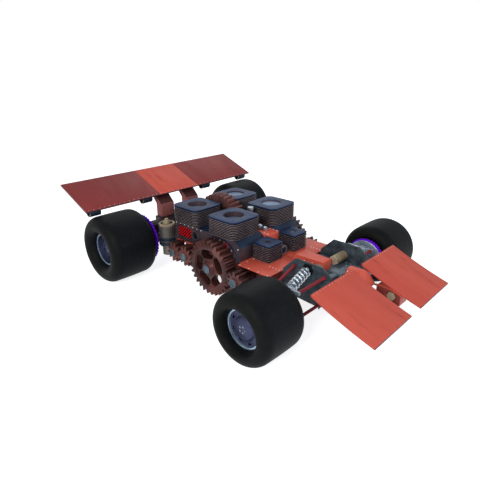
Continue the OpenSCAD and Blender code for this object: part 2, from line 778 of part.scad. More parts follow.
module gear_shafts() {
    places = [rear_pinion_at, mid_pinion_at, front_pinion_at, big_gear_at];
    color("#505f69") {
        for (s = sides, p = places)
            on_side(s) cyl_y(shaft_r, p[0], p[1], tub_half, gear_face_y - 28);
        cyl_y(shaft_r, centre_gear_at[0], centre_gear_at[1], -crank_in, crank_in);
    }
}
module centre_gear() {
    color("#5f3732") translate([centre_gear_at[0], centre_gear_w / 2, centre_gear_at[1]]) rotate([90, 0, 0])
        difference() {
            linear_extrude(centre_gear_w) difference() {
                polygon(gear_points(centre_teeth, 0));
                for (i = [0 : 5]) rotate(60 * i) translate([190, 0]) circle(56);
            }
            translate([0, 0, -1]) cylinder(r = shaft_r + run_clear, h = centre_gear_w + 2);
        }
}

// ---- rear end -----------------------------------------------------------
module canisters() {
    body_z = [290, 496];
    color("#504f4e") for (s = sides) on_side(s) translate([canister_at[0], canister_at[1], 0]) {
        translate([0, 0, 195]) cylinder(r = 56, h = body_z[0] - 195 + eps);
        translate([0, 0, body_z[0]]) cylinder(r = canister_r - 4, h = body_z[1] - body_z[0]);
        translate([0, 0, body_z[1] - eps]) difference() {
            cylinder(r = canister_r, h = 20, $fn = 8);
            translate([0, 0, 8]) cylinder(r = canister_r - 16, h = 20, $fn = 8);
        }
        translate([0, 0, body_z[1] + 8 - 2 * eps]) cylinder(r1 = 44, r2 = 20, h = 40);
        // arm to the side rail
        block([-20, 20], [210 - canister_at[1], -canister_r + 10], [300, 340]);
    }
}
module rear_axle() {
    stub_end = rear_wheel_y + rear_tyre_w / 2 - rear_disc_inset - 24;
    color("#3a3032") {
        block(axle_beam_x, [-axle_beam_half, axle_beam_half], axle_beam_z);
        block([gearbox_x, axle_beam_x[0] + eps], [-gearbox_half, gearbox_half], axle_beam_z);
        for (s = sides) on_side(s) {
            cyl_y(rear_stub_r, rear_axle_x, rear_tyre_r, axle_beam_half - eps, stub_end);
            block([axle_beam_x[1] - eps, tub_x[0]], [gear_slot_half, 210], [250, deck_z - deck_t]);
        }
    }
}

tyre_front(left);  // tyre_front_left
tyre_front(right);  // tyre_front_right
tyre_rear(left);  // tyre_rear_left
tyre_rear(right);  // tyre_rear_right
rim_front(left);  // rim_front_left
rim_front(right);  // rim_front_right
rim_rear(left);  // rim_rear_left
rim_rear(right);  // rim_rear_right
disc_front(left);  // disc_front_left
disc_front(right);  // disc_front_right
disc_rear(left);  // disc_rear_left
disc_rear(right);  // disc_rear_right
knuckle(left);  // knuckle_left
knuckle(right);  // knuckle_right
carrier(left);  // carrier_left
carrier(right);  // carrier_right
suspension_rods();
coil_springs();
bulkhead(left);  // bulkhead_left
bulkhead(right);  // bulkhead_right
front_floor();
rack_housing();
ribbed_cylinders();
tub();
side_deck(left);  // side_deck_left
side_deck(right);  // side_deck_right
spine();
cowl();
nose_cone();
nose_plug();
front_wing(left);  // front_wing_left
front_wing(right);  // front_wing_right
rear_wing_outer(left);  // rear_wing_left
rear_wing_centre();
rear_wing_outer(right);  // rear_wing_right
wing_posts();
wing_brackets();
crankcase(left);  // crankcase_left
crankcase(right);  // crankcase_right
cylinder_block(front_block_x, left);  // cylinder_front_left
cylinder_block(front_block_x, right);  // cylinder_front_right
cylinder_block(rear_block_x, left);  // cylinder_rear_left
cylinder_block(rear_block_x, right);  // cylinder_rear_right
small_cylinder(left);  // small_cylinder_left
small_cylinder(right);  // small_cylinder_right
starter_housing();
spine_fittings();
gear_shafts();
big_gear(left);  // big_gear_left
big_gear(right);  // big_gear_right
pinion_rear(left);  // pinion_rear_left
pinion_rear(right);  // pinion_rear_right
pinion_mid(left);  // pinion_mid_left
pinion_mid(right);  // pinion_mid_right
pinion_front(left);  // pinion_front_left
pinion_front(right);  // pinion_front_right
centre_gear();
canisters();
rear_axle();
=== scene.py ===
"""Open wheel racing car: finishes, fine detail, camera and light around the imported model."""
import json
import math

import bmesh
import bpy
from mathutils import Matrix, Vector

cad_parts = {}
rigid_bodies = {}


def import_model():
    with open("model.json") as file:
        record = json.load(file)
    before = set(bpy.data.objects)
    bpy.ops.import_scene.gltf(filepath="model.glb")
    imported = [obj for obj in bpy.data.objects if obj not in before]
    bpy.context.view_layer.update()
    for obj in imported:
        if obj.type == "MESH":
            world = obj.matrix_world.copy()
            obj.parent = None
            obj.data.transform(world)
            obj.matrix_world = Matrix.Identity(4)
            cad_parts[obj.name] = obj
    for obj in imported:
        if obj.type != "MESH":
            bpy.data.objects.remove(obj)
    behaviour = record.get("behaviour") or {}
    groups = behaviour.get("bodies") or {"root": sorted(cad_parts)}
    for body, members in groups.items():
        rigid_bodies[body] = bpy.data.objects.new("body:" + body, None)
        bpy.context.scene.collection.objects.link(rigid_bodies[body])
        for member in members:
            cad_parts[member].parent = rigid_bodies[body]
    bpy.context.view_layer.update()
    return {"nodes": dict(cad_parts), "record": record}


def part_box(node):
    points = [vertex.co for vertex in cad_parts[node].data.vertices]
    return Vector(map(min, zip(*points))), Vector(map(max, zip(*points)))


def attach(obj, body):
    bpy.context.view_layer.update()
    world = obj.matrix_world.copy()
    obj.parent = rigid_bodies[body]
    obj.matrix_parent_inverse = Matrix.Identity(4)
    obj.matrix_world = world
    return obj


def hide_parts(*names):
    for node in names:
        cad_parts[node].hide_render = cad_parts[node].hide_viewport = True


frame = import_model()
NODES = frame["nodes"]
BODY_OF = {n: b for b, ns in frame["record"]["behaviour"]["bodies"].items() for n in ns}
SLOT_OF = {s["node"]: s["material_slot"] for s in frame["record"]["subparts"]}
SIDES = {"left": 1, "right": -1}
MM = 0.001


# ---------------------------------------------------------------- materials
def srgb(r, g, b):
    """0-255 display colour as linear RGBA."""
    def line(c):
        c /= 255
        return c / 12.92 if c <= 0.04045 else ((c + 0.055) / 1.055) ** 2.4
    return (line(r), line(g), line(b), 1.0)


class Finish:
    """A node material with short helpers for its noise, ramps and mixes."""

    def __init__(self, name):
        self.material = bpy.data.materials.new(name)
        self.material.use_nodes = True
        self.tree = self.material.node_tree
        self.tree.nodes.clear()
        self.shader = self.add("ShaderNodeBsdfPrincipled")
        out = self.add("ShaderNodeOutputMaterial")
        self.join(self.shader.outputs["BSDF"], out.inputs["Surface"])
        self.coords = self.add("ShaderNodeTexCoord").outputs["Object"]

    def add(self, kind, **values):
        node = self.tree.nodes.new(kind)
        for key, value in values.items():
            setattr(node, key, value)
        return node

    def join(self, a, b):
        self.tree.links.new(a, b)

    def feed(self, socket, value):
        if isinstance(value, bpy.types.NodeSocket):
            self.join(value, socket)
        else:
            socket.default_value = value

    def mapped(self, scale=(1, 1, 1), turn=(0, 0, 0), move=(0, 0, 0)):
        node = self.add("ShaderNodeMapping")
        self.join(self.coords, node.inputs["Vector"])
        node.inputs["Scale"].default_value = scale
        node.inputs["Rotation"].default_value = turn
        node.inputs["Location"].default_value = move
        return node.outputs["Vector"]

    def noise(self, scale, detail=3, rough=0.55, stretch=(1, 1, 1)):
        node = self.add("ShaderNodeTexNoise")
        self.join(self.mapped(stretch), node.inputs["Vector"])
        node.inputs["Scale"].default_value = scale
        node.inputs["Detail"].default_value = detail
        node.inputs["Roughness"].default_value = rough
        return node.outputs["Fac"]

    def ramp(self, value, *stops):
        node = self.add("ShaderNodeValToRGB")
        while len(node.color_ramp.elements) < len(stops):
            node.color_ramp.elements.new(0.5)
        for element, (at, colour) in zip(node.color_ramp.elements, stops):
            element.position = at
            element.color = colour if isinstance(colour, tuple) else (colour,) * 3 + (1,)
        self.join(value, node.inputs["Fac"])
        return node.outputs["Color"]

    def split(self, vector):
        node = self.add("ShaderNodeSeparateXYZ")
        self.join(vector, node.inputs[0])
        return node.outputs[0], node.outputs[1], node.outputs[2]

    def math(self, kind, a, b=0.0, clamp=False):
        node = self.add("ShaderNodeMath", operation=kind, use_clamp=clamp)
        self.feed(node.inputs[0], a)
        self.feed(node.inputs[1], b)
        return node.outputs[0]

    def off_middle(self, value):
        """How far each repeat of a rising value is from its middle."""
        return self.math("ABSOLUTE", self.math("SUBTRACT", self.math("FRACT", value), 0.5))

    def mix(self, fac, a, b, kind="MIX"):
        node = self.add("ShaderNodeMix", data_type="RGBA", blend_type=kind)
        self.feed(node.inputs["Factor"], fac)
        self.feed(node.inputs["A"], a)
        self.feed(node.inputs["B"], b)
        return node.outputs["Result"]

    def edges(self, reach=0.004):
        """Bright within a few millimetres of a sharp edge."""
        rounded = self.add("ShaderNodeBevel", samples=4)
        rounded.inputs["Radius"].default_value = reach
        own = self.add("ShaderNodeNewGeometry").outputs["Normal"]
        dot = self.add("ShaderNodeVectorMath", operation="DOT_PRODUCT")
        self.join(rounded.outputs[0], dot.inputs[0])
        self.join(own, dot.inputs[1])
        return self.ramp(dot.outputs["Value"], (0.80, 1.0), (0.985, 0.0))

    def hollow_shade(self, reach=0.03):
        """Mask for painted shade: bright deep in corners and gaps, where shade falls."""
        shade = self.add("ShaderNodeAmbientOcclusion", samples=4, only_local=True)
        shade.inputs["Distance"].default_value = reach
        return self.ramp(shade.outputs["AO"], (0.25, 1.0), (0.85, 0.0))

    def bump(self, height, strength=0.2, distance=0.001, after=None):
        node = self.add("ShaderNodeBump")
        node.inputs["Strength"].default_value = strength
        node.inputs["Distance"].default_value = distance
        self.join(height, node.inputs["Height"])
        if after is not None:
            self.join(after, node.inputs["Normal"])
        return node.outputs["Normal"]

    def set(self, **values):
        names = {"colour": "Base Color", "rough": "Roughness", "metal": "Metallic",
                 "normal": "Normal", "coat": "Coat Weight", "coat_rough": "Coat Roughness",
                 "specular": "Specular IOR Level"}
        for key, value in values.items():
            self.feed(self.shader.inputs[names[key]], value)
        return self.material


def paint(name, colour, worn, dark, streak=(1, 1, 1), rough=0.42, wear=0.55, coat=0.0):
    """Satin paint: mottled, streaked along one direction, rubbed through at the edges."""
    f = Finish(name)
    broad = f.noise(2.2, 3, stretch=streak)
    base = f.mix(f.ramp(broad, (0.36, 0.0), (0.66, 1.0)), colour, worn)
    streaks = f.noise(9.0, 5, 0.62, stretch=streak)
    base = f.mix(f.math("MULTIPLY", f.ramp(streaks, (0.56, 0.0), (0.78, 1.0)), 0.55), base, dark)
    chips = f.math("MULTIPLY", f.edges(), f.ramp(f.noise(55, 4), (0.42, 0.0), (0.58, 1.0)))
    light = tuple(min(1, c * 1.7 + 0.03) for c in worn[:3]) + (1,)
    base = f.mix(f.math("MULTIPLY", chips, wear), base, light)
    # Painted shade: darker deep in corners and gaps.
    base = f.mix(f.math("MULTIPLY", f.hollow_shade(), 0.6), base, dark)
    fine = f.noise(45, 3)
    return f.set(colour=base, rough=f.ramp(streaks, (0.3, rough - 0.06), (0.75, rough + 0.16)),
                 normal=f.bump(fine, 0.1, 0.0008), coat=coat, coat_rough=0.25, specular=0.12)


def cast_metal(name, colour, worn, dark, metal=0.4, rough=0.5, grain=90, bump=0.35, wear=0.8):
    """Cast or forged metal: grainy skin, brighter edges and painted shade in the corners and gaps.
    """
    f = Finish(name)
    grain_noise = f.noise(grain, 4, 0.6)
    broad = f.noise(6, 4)
    base = f.mix(f.ramp(broad, (0.35, 0.0), (0.68, 1.0)), dark, colour)
    edge = f.math("MULTIPLY", f.edges(), f.ramp(f.noise(40, 3), (0.3, 0.3), (0.6, 1.0)))
    base = f.mix(f.math("MULTIPLY", edge, wear), base, worn)
    # Painted shade: darker deep in corners and gaps.
    base = f.mix(f.math("MULTIPLY", f.hollow_shade(), 0.7), base, dark)
    return f.set(colour=base, metal=metal,
                 rough=f.ramp(grain_noise, (0.3, rough - 0.1), (0.7, rough + 0.15)),
                 normal=f.bump(grain_noise, bump, 0.0012), specular=0.15)


def bare_metal(name, colour, dark, rough=0.25, metal=1.0, lines=(1, 1, 1)):
    """Turned or plated metal with fine scratches and a few dull spots."""
    f = Finish(name)
    scratches = f.noise(60, 4, 0.7, stretch=lines)
    dull = f.noise(14, 3)
    base = f.mix(f.ramp(dull, (0.45, 0.0), (0.72, 1.0)), colour, dark)
    return f.set(colour=base, metal=metal,
                 rough=f.ramp(scratches, (0.3, max(0.05, rough - 0.1)), (0.7, rough + 0.14)),
                 normal=f.bump(scratches, 0.08, 0.0004))


def slick_rubber(name, hub, half_tread, seams=12):
    """Slick tyre rubber: moulding seams across and beside the tread, scuffed patches, and a warm
    painted highlight on the sidewalls.
    """
    f = Finish(name)
    x, y, z = f.split(f.mapped(move=(-hub[0], 0, -hub[2])))
    around = f.math("MULTIPLY", f.math("ARCTAN2", z, x), seams / math.tau)
    across = f.math("LESS_THAN", f.off_middle(around), 0.012)
    out = f.math("ABSOLUTE", f.math("SUBTRACT", f.math("ABSOLUTE", y), abs(hub[1])))
    ring = f.math("LESS_THAN", f.math("ABSOLUTE", f.math("SUBTRACT", out, half_tread)), 0.0022)
    on_tread = f.math("LESS_THAN", out, half_tread)
    seam = f.math("MAXIMUM", f.math("MULTIPLY", across, on_tread), ring)
    patches = f.noise(5, 4)
    tread = f.mix(f.ramp(patches, (0.35, 0.0), (0.7, 1.0)), srgb(9, 12, 15), srgb(14, 17, 20))
    # Sidewalls warmer and lighter than the tread: a painted highlight.
    wall = f.mix(f.ramp(patches, (0.35, 0.0), (0.7, 1.0)), srgb(14, 15, 15), srgb(21, 21, 19))
    side = f.math("MULTIPLY", f.math("SUBTRACT", out, half_tread), 14, clamp=True)
    base = f.mix(side, tread, wall)
    base = f.mix(f.math("MULTIPLY", f.ramp(f.noise(26, 5), (0.5, 0.0), (0.75, 1.0)), 0.4),
                 base, srgb(28, 28, 27))
    base = f.mix(f.math("MULTIPLY", seam, 0.9), base, srgb(4, 5, 6))
    fine = f.noise(240, 3)
    height = f.math("SUBTRACT", fine, f.math("MULTIPLY", seam, 3))
    return f.set(colour=base, rough=f.ramp(fine, (0.3, 0.5), (0.7, 0.62)),
                 normal=f.bump(height, 0.1, 0.0007), specular=0.06)


def lined_paint(name, colour, worn, dark, lines, rough=0.45, depth=0.32):
    """Satin panel paint with fine pressed lines along the chord and dark scuffs."""
    f = Finish(name)
    y = f.split(f.coords)[1]
    wave = f.off_middle(f.math("MULTIPLY", y, lines))
    line = f.ramp(wave, (0.0, 1.0), (0.09, 0.0))
    broad = f.noise(2.6, 4, stretch=ALONG)
    base = f.mix(f.ramp(broad, (0.36, 0.0), (0.66, 1.0)), colour, worn)
    scuff = f.noise(7.0, 6, 0.66, stretch=ALONG)
    base = f.mix(f.math("MULTIPLY", f.ramp(scuff, (0.58, 0.0), (0.74, 1.0)), 0.6), base, dark)
    base = f.mix(f.math("MULTIPLY", line, depth), base, dark)
    chips = f.math("MULTIPLY", f.edges(), f.ramp(f.noise(55, 4), (0.42, 0.0), (0.58, 1.0)))
    base = f.mix(f.math("MULTIPLY", chips, 0.7), base, srgb(226, 190, 176))
    height = f.math("SUBTRACT", f.noise(12, 3), line)
    return f.set(colour=base, rough=f.ramp(scuff, (0.3, rough - 0.04), (0.75, rough + 0.14)),
                 normal=f.bump(height, 0.15, 0.0006), specular=0.06)


def mottled_plate():
    """Dark plate with a cloudy blue grey skin."""
    f = Finish("mottled_plate")
    clouds = f.noise(16, 6, 0.68)
    base = f.ramp(clouds, (0.32, srgb(36, 44, 50)), (0.5, srgb(58, 68, 74)),
                  (0.7, srgb(84, 95, 100)))
    # Painted highlight: the plate's edges are lit up in a lighter blue.
    edge = f.edges(0.006)
    base = f.mix(f.math("MULTIPLY", edge, 0.7), base, srgb(70, 90, 110))
    return f.set(colour=base, metal=0.3, rough=f.ramp(clouds, (0.3, 0.42), (0.7, 0.6)),
                 normal=f.bump(clouds, 0.25, 0.001), specular=0.2)


ALONG = (0.18, 1.6, 1.0)
M = {
    "body": paint("body_red", srgb(206, 82, 64), srgb(216, 96, 76), srgb(128, 48, 40), coat=0.15),
    # Shaded copy of the body red: painted shade on side and lower faces.
    "body_shade": paint("body_red_painted_shade", srgb(112, 46, 42), srgb(134, 58, 50), srgb(60, 28, 30)),
    "front_wing": lined_paint("front_wing_coral", srgb(196, 82, 68), srgb(205, 92, 76),
                              srgb(128, 52, 46), 9, 0.5, 0.07),
    "rear_wing": lined_paint("rear_wing_red", srgb(134, 56, 54), srgb(146, 64, 62),
                             srgb(92, 38, 40), 34),
    "rear_wing_mid": lined_paint("rear_wing_mid_coral", srgb(204, 84, 70), srgb(212, 92, 76),
                                 srgb(150, 60, 52), 9, 0.48, 0.2),
    # Shaded copy of the wing red: painted shade on front faces and undersides.
    "wing_shade": paint("wing_red_painted_shade", srgb(70, 42, 48), srgb(92, 58, 60), srgb(36, 26, 36)),
    "wing_tip": cast_metal("wing_tip_silver", srgb(150, 140, 138), srgb(205, 200, 196),
                           srgb(110, 92, 90), metal=0.4),
    "post": paint("post_brown_red", srgb(144, 84, 80), srgb(158, 96, 90), srgb(96, 54, 54)),
    # Shaded copy of the post red: painted shade on the posts' upper front facets.
    "post_top": paint("post_top_painted_shade", srgb(66, 36, 38), srgb(82, 46, 46), srgb(40, 24, 26)),
    "gear": cast_metal("gear_red_iron", srgb(122, 76, 70), srgb(186, 118, 102), srgb(68, 46, 46),
                       metal=0.2, rough=0.42),
    "gear_web": cast_metal("gear_web_iron", srgb(92, 50, 46), srgb(168, 92, 74), srgb(48, 30, 30),
                           metal=0.3, rough=0.36),
    "gear_shaft": cast_metal("shaft_blue_steel", srgb(98, 118, 130), srgb(150, 166, 174),
                             srgb(60, 74, 86), metal=0.5, rough=0.42),
    # Blue of the cylinder tops: a painted sky reflection.
    "cylinder_top": cast_metal("cylinder_top_sky_reflection", srgb(30, 52, 86), srgb(62, 86, 120),
                               srgb(22, 40, 70), metal=0.3, rough=0.5, bump=0.1),
    # Near-black: painted shade on the fins' upward faces deep in the gaps.
    "fin_top": cast_metal("fin_top_painted_shade", srgb(7, 12, 26), srgb(22, 34, 58), srgb(4, 7, 16),
                          metal=0.1),
    "fin": cast_metal("fin_iron", srgb(124, 108, 110), srgb(168, 150, 148), srgb(84, 76, 82),
                      metal=0.3, rough=0.5, wear=1.0),
    # Near-black: painted shade in the gaps between fins and in the grille recesses.
    "core_gap_shade": cast_metal("core_painted_black_shade", srgb(18, 26, 44), srgb(30, 40, 60), srgb(10, 15, 26)),
    # Pale blue of the bore floors: a painted sky reflection.
    "bore_floor": cast_metal("bore_floor_sky_reflection", srgb(124, 144, 170), srgb(146, 164, 188),
                             srgb(104, 124, 150), metal=0.2, bump=0.1),
    "bore_wall": cast_metal("bore_wall_brown", srgb(98, 80, 82), srgb(128, 108, 106),
                            srgb(62, 50, 56), metal=0.3),
    "crankcase": cast_metal("crankcase_iron", srgb(84, 70, 74), srgb(120, 104, 104),
                            srgb(52, 44, 50), metal=0.25, rough=0.5),
    # Blue of the crankcases' upward faces: a painted sky reflection.
    "crank_bevel": cast_metal("crank_bevel_sky_reflection", srgb(30, 46, 70), srgb(60, 80, 108),
                              srgb(20, 30, 46), metal=0.35, rough=0.42),
    "plate": mottled_plate(),
    "floor_plate": cast_metal("floor_grey", srgb(104, 116, 124), srgb(140, 150, 156),
                              srgb(78, 90, 98), metal=0.2, bump=0.15),
    "pale_plate": cast_metal("pale_grey", srgb(134, 146, 154), srgb(178, 188, 194),
                             srgb(98, 110, 118), metal=0.2, bump=0.15),
    "rod": paint("rod_dark_red", srgb(124, 34, 44), srgb(142, 44, 52), srgb(66, 22, 30),
                 rough=0.35),
    "tan": cast_metal("tan_metal", srgb(190, 172, 142), srgb(226, 210, 182), srgb(128, 112, 90),
                      metal=0.15, rough=0.5),
    "tan_dark": cast_metal("tan_dark", srgb(84, 72, 60), srgb(120, 104, 86), srgb(50, 44, 38),
                           metal=0.15),
    "canister": cast_metal("canister_grey", srgb(122, 114, 104), srgb(160, 150, 136),
                           srgb(84, 80, 76), metal=0.3, rough=0.36, bump=0.12),
    "clamp": cast_metal("clamp_dark_blue", srgb(52, 66, 84), srgb(98, 112, 128), srgb(28, 36, 48),
                        metal=0.4),
    "dark": cast_metal("axle_dark", srgb(56, 46, 50), srgb(92, 78, 78), srgb(30, 27, 31)),
    "purple": paint("disc_purple", srgb(110, 10, 222), srgb(122, 26, 232), srgb(64, 0, 138),
                    wear=0.3),
    "chrome": bare_metal("spring_chrome", srgb(212, 220, 228), srgb(140, 152, 166), 0.18,
                         metal=0.85),
    "cast_silver": cast_metal("cast_silver", srgb(178, 188, 198), srgb(232, 238, 242),
                              srgb(112, 122, 136), metal=0.3, rough=0.3, bump=0.3),
    "steel": bare_metal("dull_steel", srgb(150, 162, 170), srgb(92, 102, 112), 0.32, metal=0.8),
    "rivet": bare_metal("rivet_bright", srgb(240, 236, 228), srgb(196, 188, 178), 0.35, metal=0.3),
    "flange": bare_metal("rim_flange_pale", srgb(168, 190, 206), srgb(118, 138, 156), 0.22,
                         metal=0.6),
    "rim": cast_metal("rim_blue_grey", srgb(66, 70, 98), srgb(126, 138, 168), srgb(44, 46, 66),
                      metal=0.35, rough=0.34, grain=140, bump=0.1),
    # Near-black metal: the spring cups' own colour, and painted shade in the wheels' deep rim
    # barrels and slots.
    "dark_metal_and_recess_shade": cast_metal("dark_metal_and_recess_shade", srgb(16, 17, 22), srgb(44, 48, 58), srgb(6, 6, 9)),
    "mesh_red": paint("grille_bright_red", srgb(214, 16, 10), srgb(232, 30, 18), srgb(110, 6, 6),
                      rough=0.35, wear=0.2),
    "ring_grey": cast_metal("ring_grey", srgb(112, 126, 130), srgb(156, 170, 172),
                            srgb(74, 86, 92)),
}


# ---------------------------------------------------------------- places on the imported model
def low(node):
    return Vector(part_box(node)[0])


def high(node):
    return Vector(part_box(node)[1])


def middle(node):
    return (low(node) + high(node)) / 2


# ---------------------------------------------------------------- mesh helpers
def finished(name, mesh, body, material=None, stands_for=(), smooth=35):
    """Makes a mesh a piece of the car that rides on a body."""
    piece = bpy.data.objects.new(name, mesh)
    bpy.context.scene.collection.objects.link(piece)
    if material:
        mesh.materials.clear()
        mesh.materials.append(M[material])
    mesh.shade_smooth()
    mesh.set_sharp_from_angle(angle=math.radians(smooth))
    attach(piece, body)
    if stands_for:
        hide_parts(*stands_for)
    return piece


def mesh_of(name, bm):
    bmesh.ops.remove_doubles(bm, verts=bm.verts, dist=1e-6)
    bmesh.ops.recalc_face_normals(bm, faces=bm.faces)
    mesh = bpy.data.meshes.new(name)
    bm.to_mesh(mesh)
    bm.free()
    return mesh


def plain(holder):
    """The evaluated mesh of an object, with its modifiers taken off."""
    graph = bpy.context.evaluated_depsgraph_get()
    mesh = bpy.data.meshes.new_from_object(holder.evaluated_get(graph), depsgraph=graph)
    holder.modifiers.clear()
    return mesh


def bevelled(mesh, width, segments=2, angle=32):
    """The mesh with its sharp edges rounded, as plain mesh."""
    holder = bpy.data.objects.new("holder", mesh)
    bpy.context.scene.collection.objects.link(holder)
    bevel = holder.modifiers.new("bevel", "BEVEL")
    bevel.width = width
    bevel.segments = segments
    bevel.limit_method = "ANGLE"
    bevel.angle_limit = math.radians(angle)
    bevel.use_clamp_overlap = True
    bevel.miter_outer = "MITER_ARC"
    result = plain(holder)
    bpy.data.objects.remove(holder)
    return result


def joined(name, meshes):
    """Several meshes of one finish as a single mesh."""
    bm = bmesh.new()
    for mesh in meshes:
        bm.from_mesh(mesh)
    whole = bpy.data.meshes.new(name)
    bm.to_mesh(whole)
    bm.free()
    return whole


def placed(mesh, origin=(0, 0, 0), axis=(0, 0, 1), turn=0.0):
    """The mesh with its z axis laid along a direction and its origin moved to a point."""
    lay = Vector((0, 0, 1)).rotation_difference(Vector(axis)).to_matrix().to_4x4()
    mesh.transform(Matrix.Translation(origin) @ lay @ Matrix.Rotation(turn, 4, "Z"))
    return mesh


def turned(name, profile, origin, axis=(0, 0, 1), segments=96, turn=0.0):
    """A profile of (radius, along) points spun about an axis."""
    bm = bmesh.new()
    rings = []
    for radius, along in profile:
        count = 1 if radius < 1e-6 else segments
        rings.append([bm.verts.new((radius * math.cos(math.tau * i / segments),
                                    radius * math.sin(math.tau * i / segments), along))
                      for i in range(count)])
    for a, b in zip(rings, rings[1:]):
        for i in range(segments):
            j = i + 1
            corners = (a[i % len(a)], a[j % len(a)], b[j % len(b)], b[i % len(b)])
            corners = list(dict.fromkeys(corners))
            if len(corners) > 2:
                bm.faces.new(corners)
    return placed(mesh_of(name, bm), origin, axis, turn)


def softened(points, rounds=1):
    """A closed outline with its corners cut, and cut again."""
    for _ in range(rounds):
        cut = []
        for a, b in zip(points, points[1:] + points[:1]):
            cut.append((a[0] * 0.75 + b[0] * 0.25, a[1] * 0.75 + b[1] * 0.25))
            cut.append((a[0] * 0.25 + b[0] * 0.75, a[1] * 0.25 + b[1] * 0.75))
        points = cut
    return points


def dressed(node, material, width=3 * MM, segments=2):
    """A CAD node's own shape with softened edges, in its finish."""
    bm = bmesh.new()
    bm.from_mesh(NODES[node].data)
    bmesh.ops.remove_doubles(bm, verts=bm.verts, dist=1e-5)
    bmesh.ops.dissolve_limit(bm, angle_limit=math.radians(0.4), verts=bm.verts, edges=bm.edges)
    mesh = bpy.data.meshes.new(node + "_dressed")
    bm.to_mesh(mesh)
    bm.free()
    mesh = bevelled(mesh, width, segments)
    return finished(node + "_dressed", mesh, BODY_OF[node], material, [node])


def tint(piece, material, test):
    """Gives the faces that pass the test a second finish."""
    piece.data.materials.append(M[material])
    index = len(piece.data.materials) - 1
    for face in piece.data.polygons:
        if test(face.center, face.normal):
            face.material_index = index


# ---------------------------------------------------------------- geometry node makers
class Maker:
    """A Geometry Nodes tree with named sizes, run to give plain meshes."""

    KINDS = {int: "NodeSocketInt", float: "NodeSocketFloat", tuple: "NodeSocketVector"}

    def __init__(self, name, **sizes):
        self.tree = bpy.data.node_groups.new(name, "GeometryNodeTree")
        self.ids = {}
        for label, value in sizes.items():
            socket = self.tree.interface.new_socket(label, in_out="INPUT",
                                                    socket_type=self.KINDS[type(value)])
            socket.default_value = value
            self.ids[label] = socket.identifier
        finish = self.tree.interface.new_socket("Finish", in_out="INPUT",
                                                socket_type="NodeSocketMaterial")
        self.ids["Finish"] = finish.identifier
        self.tree.interface.new_socket("Mesh", in_out="OUTPUT", socket_type="NodeSocketGeometry")
        self.source = self.tree.nodes.new("NodeGroupInput")

    def size(self, label):
        return self.source.outputs[label]

    def add(self, kind, inputs, **options):
        node = self.tree.nodes.new(kind)
        for key, value in options.items():
            setattr(node, key, value)
        for label, value in inputs.items():
            if isinstance(value, bpy.types.NodeSocket):
                self.tree.links.new(value, node.inputs[label])
            else:
                node.inputs[label].default_value = value
        return node.outputs[0]

    def math(self, kind, a, b):
        return self.add("ShaderNodeMath", {0: a, 1: b}, operation=kind)

    def vector(self, x=0.0, y=0.0, z=0.0):
        return self.add("ShaderNodeCombineXYZ", {"X": x, "Y": y, "Z": z})

    def together(self, *parts):
        node = self.tree.nodes.new("GeometryNodeJoinGeometry")
        for part in parts:
            self.tree.links.new(part, node.inputs[0])
        return node.outputs[0]

    def on_points(self, points, instance, **inputs):
        labels = {"scale": "Scale", "turn": "Rotation"}
        wanted = {labels[key]: value for key, value in inputs.items()}
        return self.add("GeometryNodeInstanceOnPoints",
                        {"Points": points, "Instance": instance, **wanted})

    def end(self, geometry):
        real = self.add("GeometryNodeRealizeInstances", {"Geometry": geometry})
        done = self.add("GeometryNodeSetMaterial",
                        {"Geometry": real, "Material": self.size("Finish")})
        out = self.tree.nodes.new("NodeGroupOutput")
        self.tree.links.new(done, out.inputs[0])
        return self

    def run(self, finish, **sizes):
        holder = bpy.data.objects.new("holder", bpy.data.meshes.new("holder"))
        bpy.context.scene.collection.objects.link(holder)
        modifier = holder.modifiers.new("maker", "NODES")
        modifier.node_group = self.tree
        modifier[self.ids["Finish"]] = M[finish]
        for label, value in sizes.items():
            modifier[self.ids[label]] = value
        mesh = plain(holder)
        bpy.data.objects.remove(holder)
        return mesh


def plate_stack_maker():
    """Rounded square plates with a round hole, one above the other."""
    m = Maker("plate_stack", Side=0.3, Corner=0.05, Hole=0.1, Thickness=0.006, Pitch=0.013,
              Count=12)
    square = m.add("GeometryNodeCurvePrimitiveQuadrilateral",
                   {"Width": m.size("Side"), "Height": m.size("Side")})
    outline = m.add("GeometryNodeFilletCurve",
                    {"Curve": square, "Radius": m.size("Corner"), "Count": 7}, mode="POLY")
    hole = m.add("GeometryNodeCurvePrimitiveCircle", {"Resolution": 48, "Radius": m.size("Hole")})
    flat = m.add("GeometryNodeFillCurve", {"Curve": m.together(outline, hole)}, mode="TRIANGLES")
    raised = m.add("GeometryNodeExtrudeMesh", {"Mesh": flat, "Offset Scale": m.size("Thickness"),
                                               "Individual": False})
    under = m.add("GeometryNodeFlipFaces", {"Mesh": flat})
    plate = m.add("GeometryNodeMergeByDistance", {"Geometry": m.together(raised, under),
                                                  "Distance": 1e-5})
    line = m.add("GeometryNodeMeshLine", {"Count": m.size("Count"),
                                          "Offset": m.vector(z=m.size("Pitch"))})
    return m.end(m.on_points(line, plate))


def rivet_row_maker():
    """Low round heads at equal steps between two points."""
    m = Maker("rivet_row", Start=(0.0, 0.0, 0.0), End=(1.0, 0.0, 0.0), Count=5,
              Size=(0.005, 0.005, 0.003))
    line = m.add("GeometryNodeCurvePrimitiveLine", {"Start": m.size("Start"), "End": m.size("End")})
    points = m.add("GeometryNodeResampleCurve", {"Curve": line, "Count": m.size("Count")})
    head = m.add("GeometryNodeMeshUVSphere", {"Segments": 10, "Rings": 6, "Radius": 1.0})
    return m.end(m.on_points(points, head, scale=m.size("Size")))


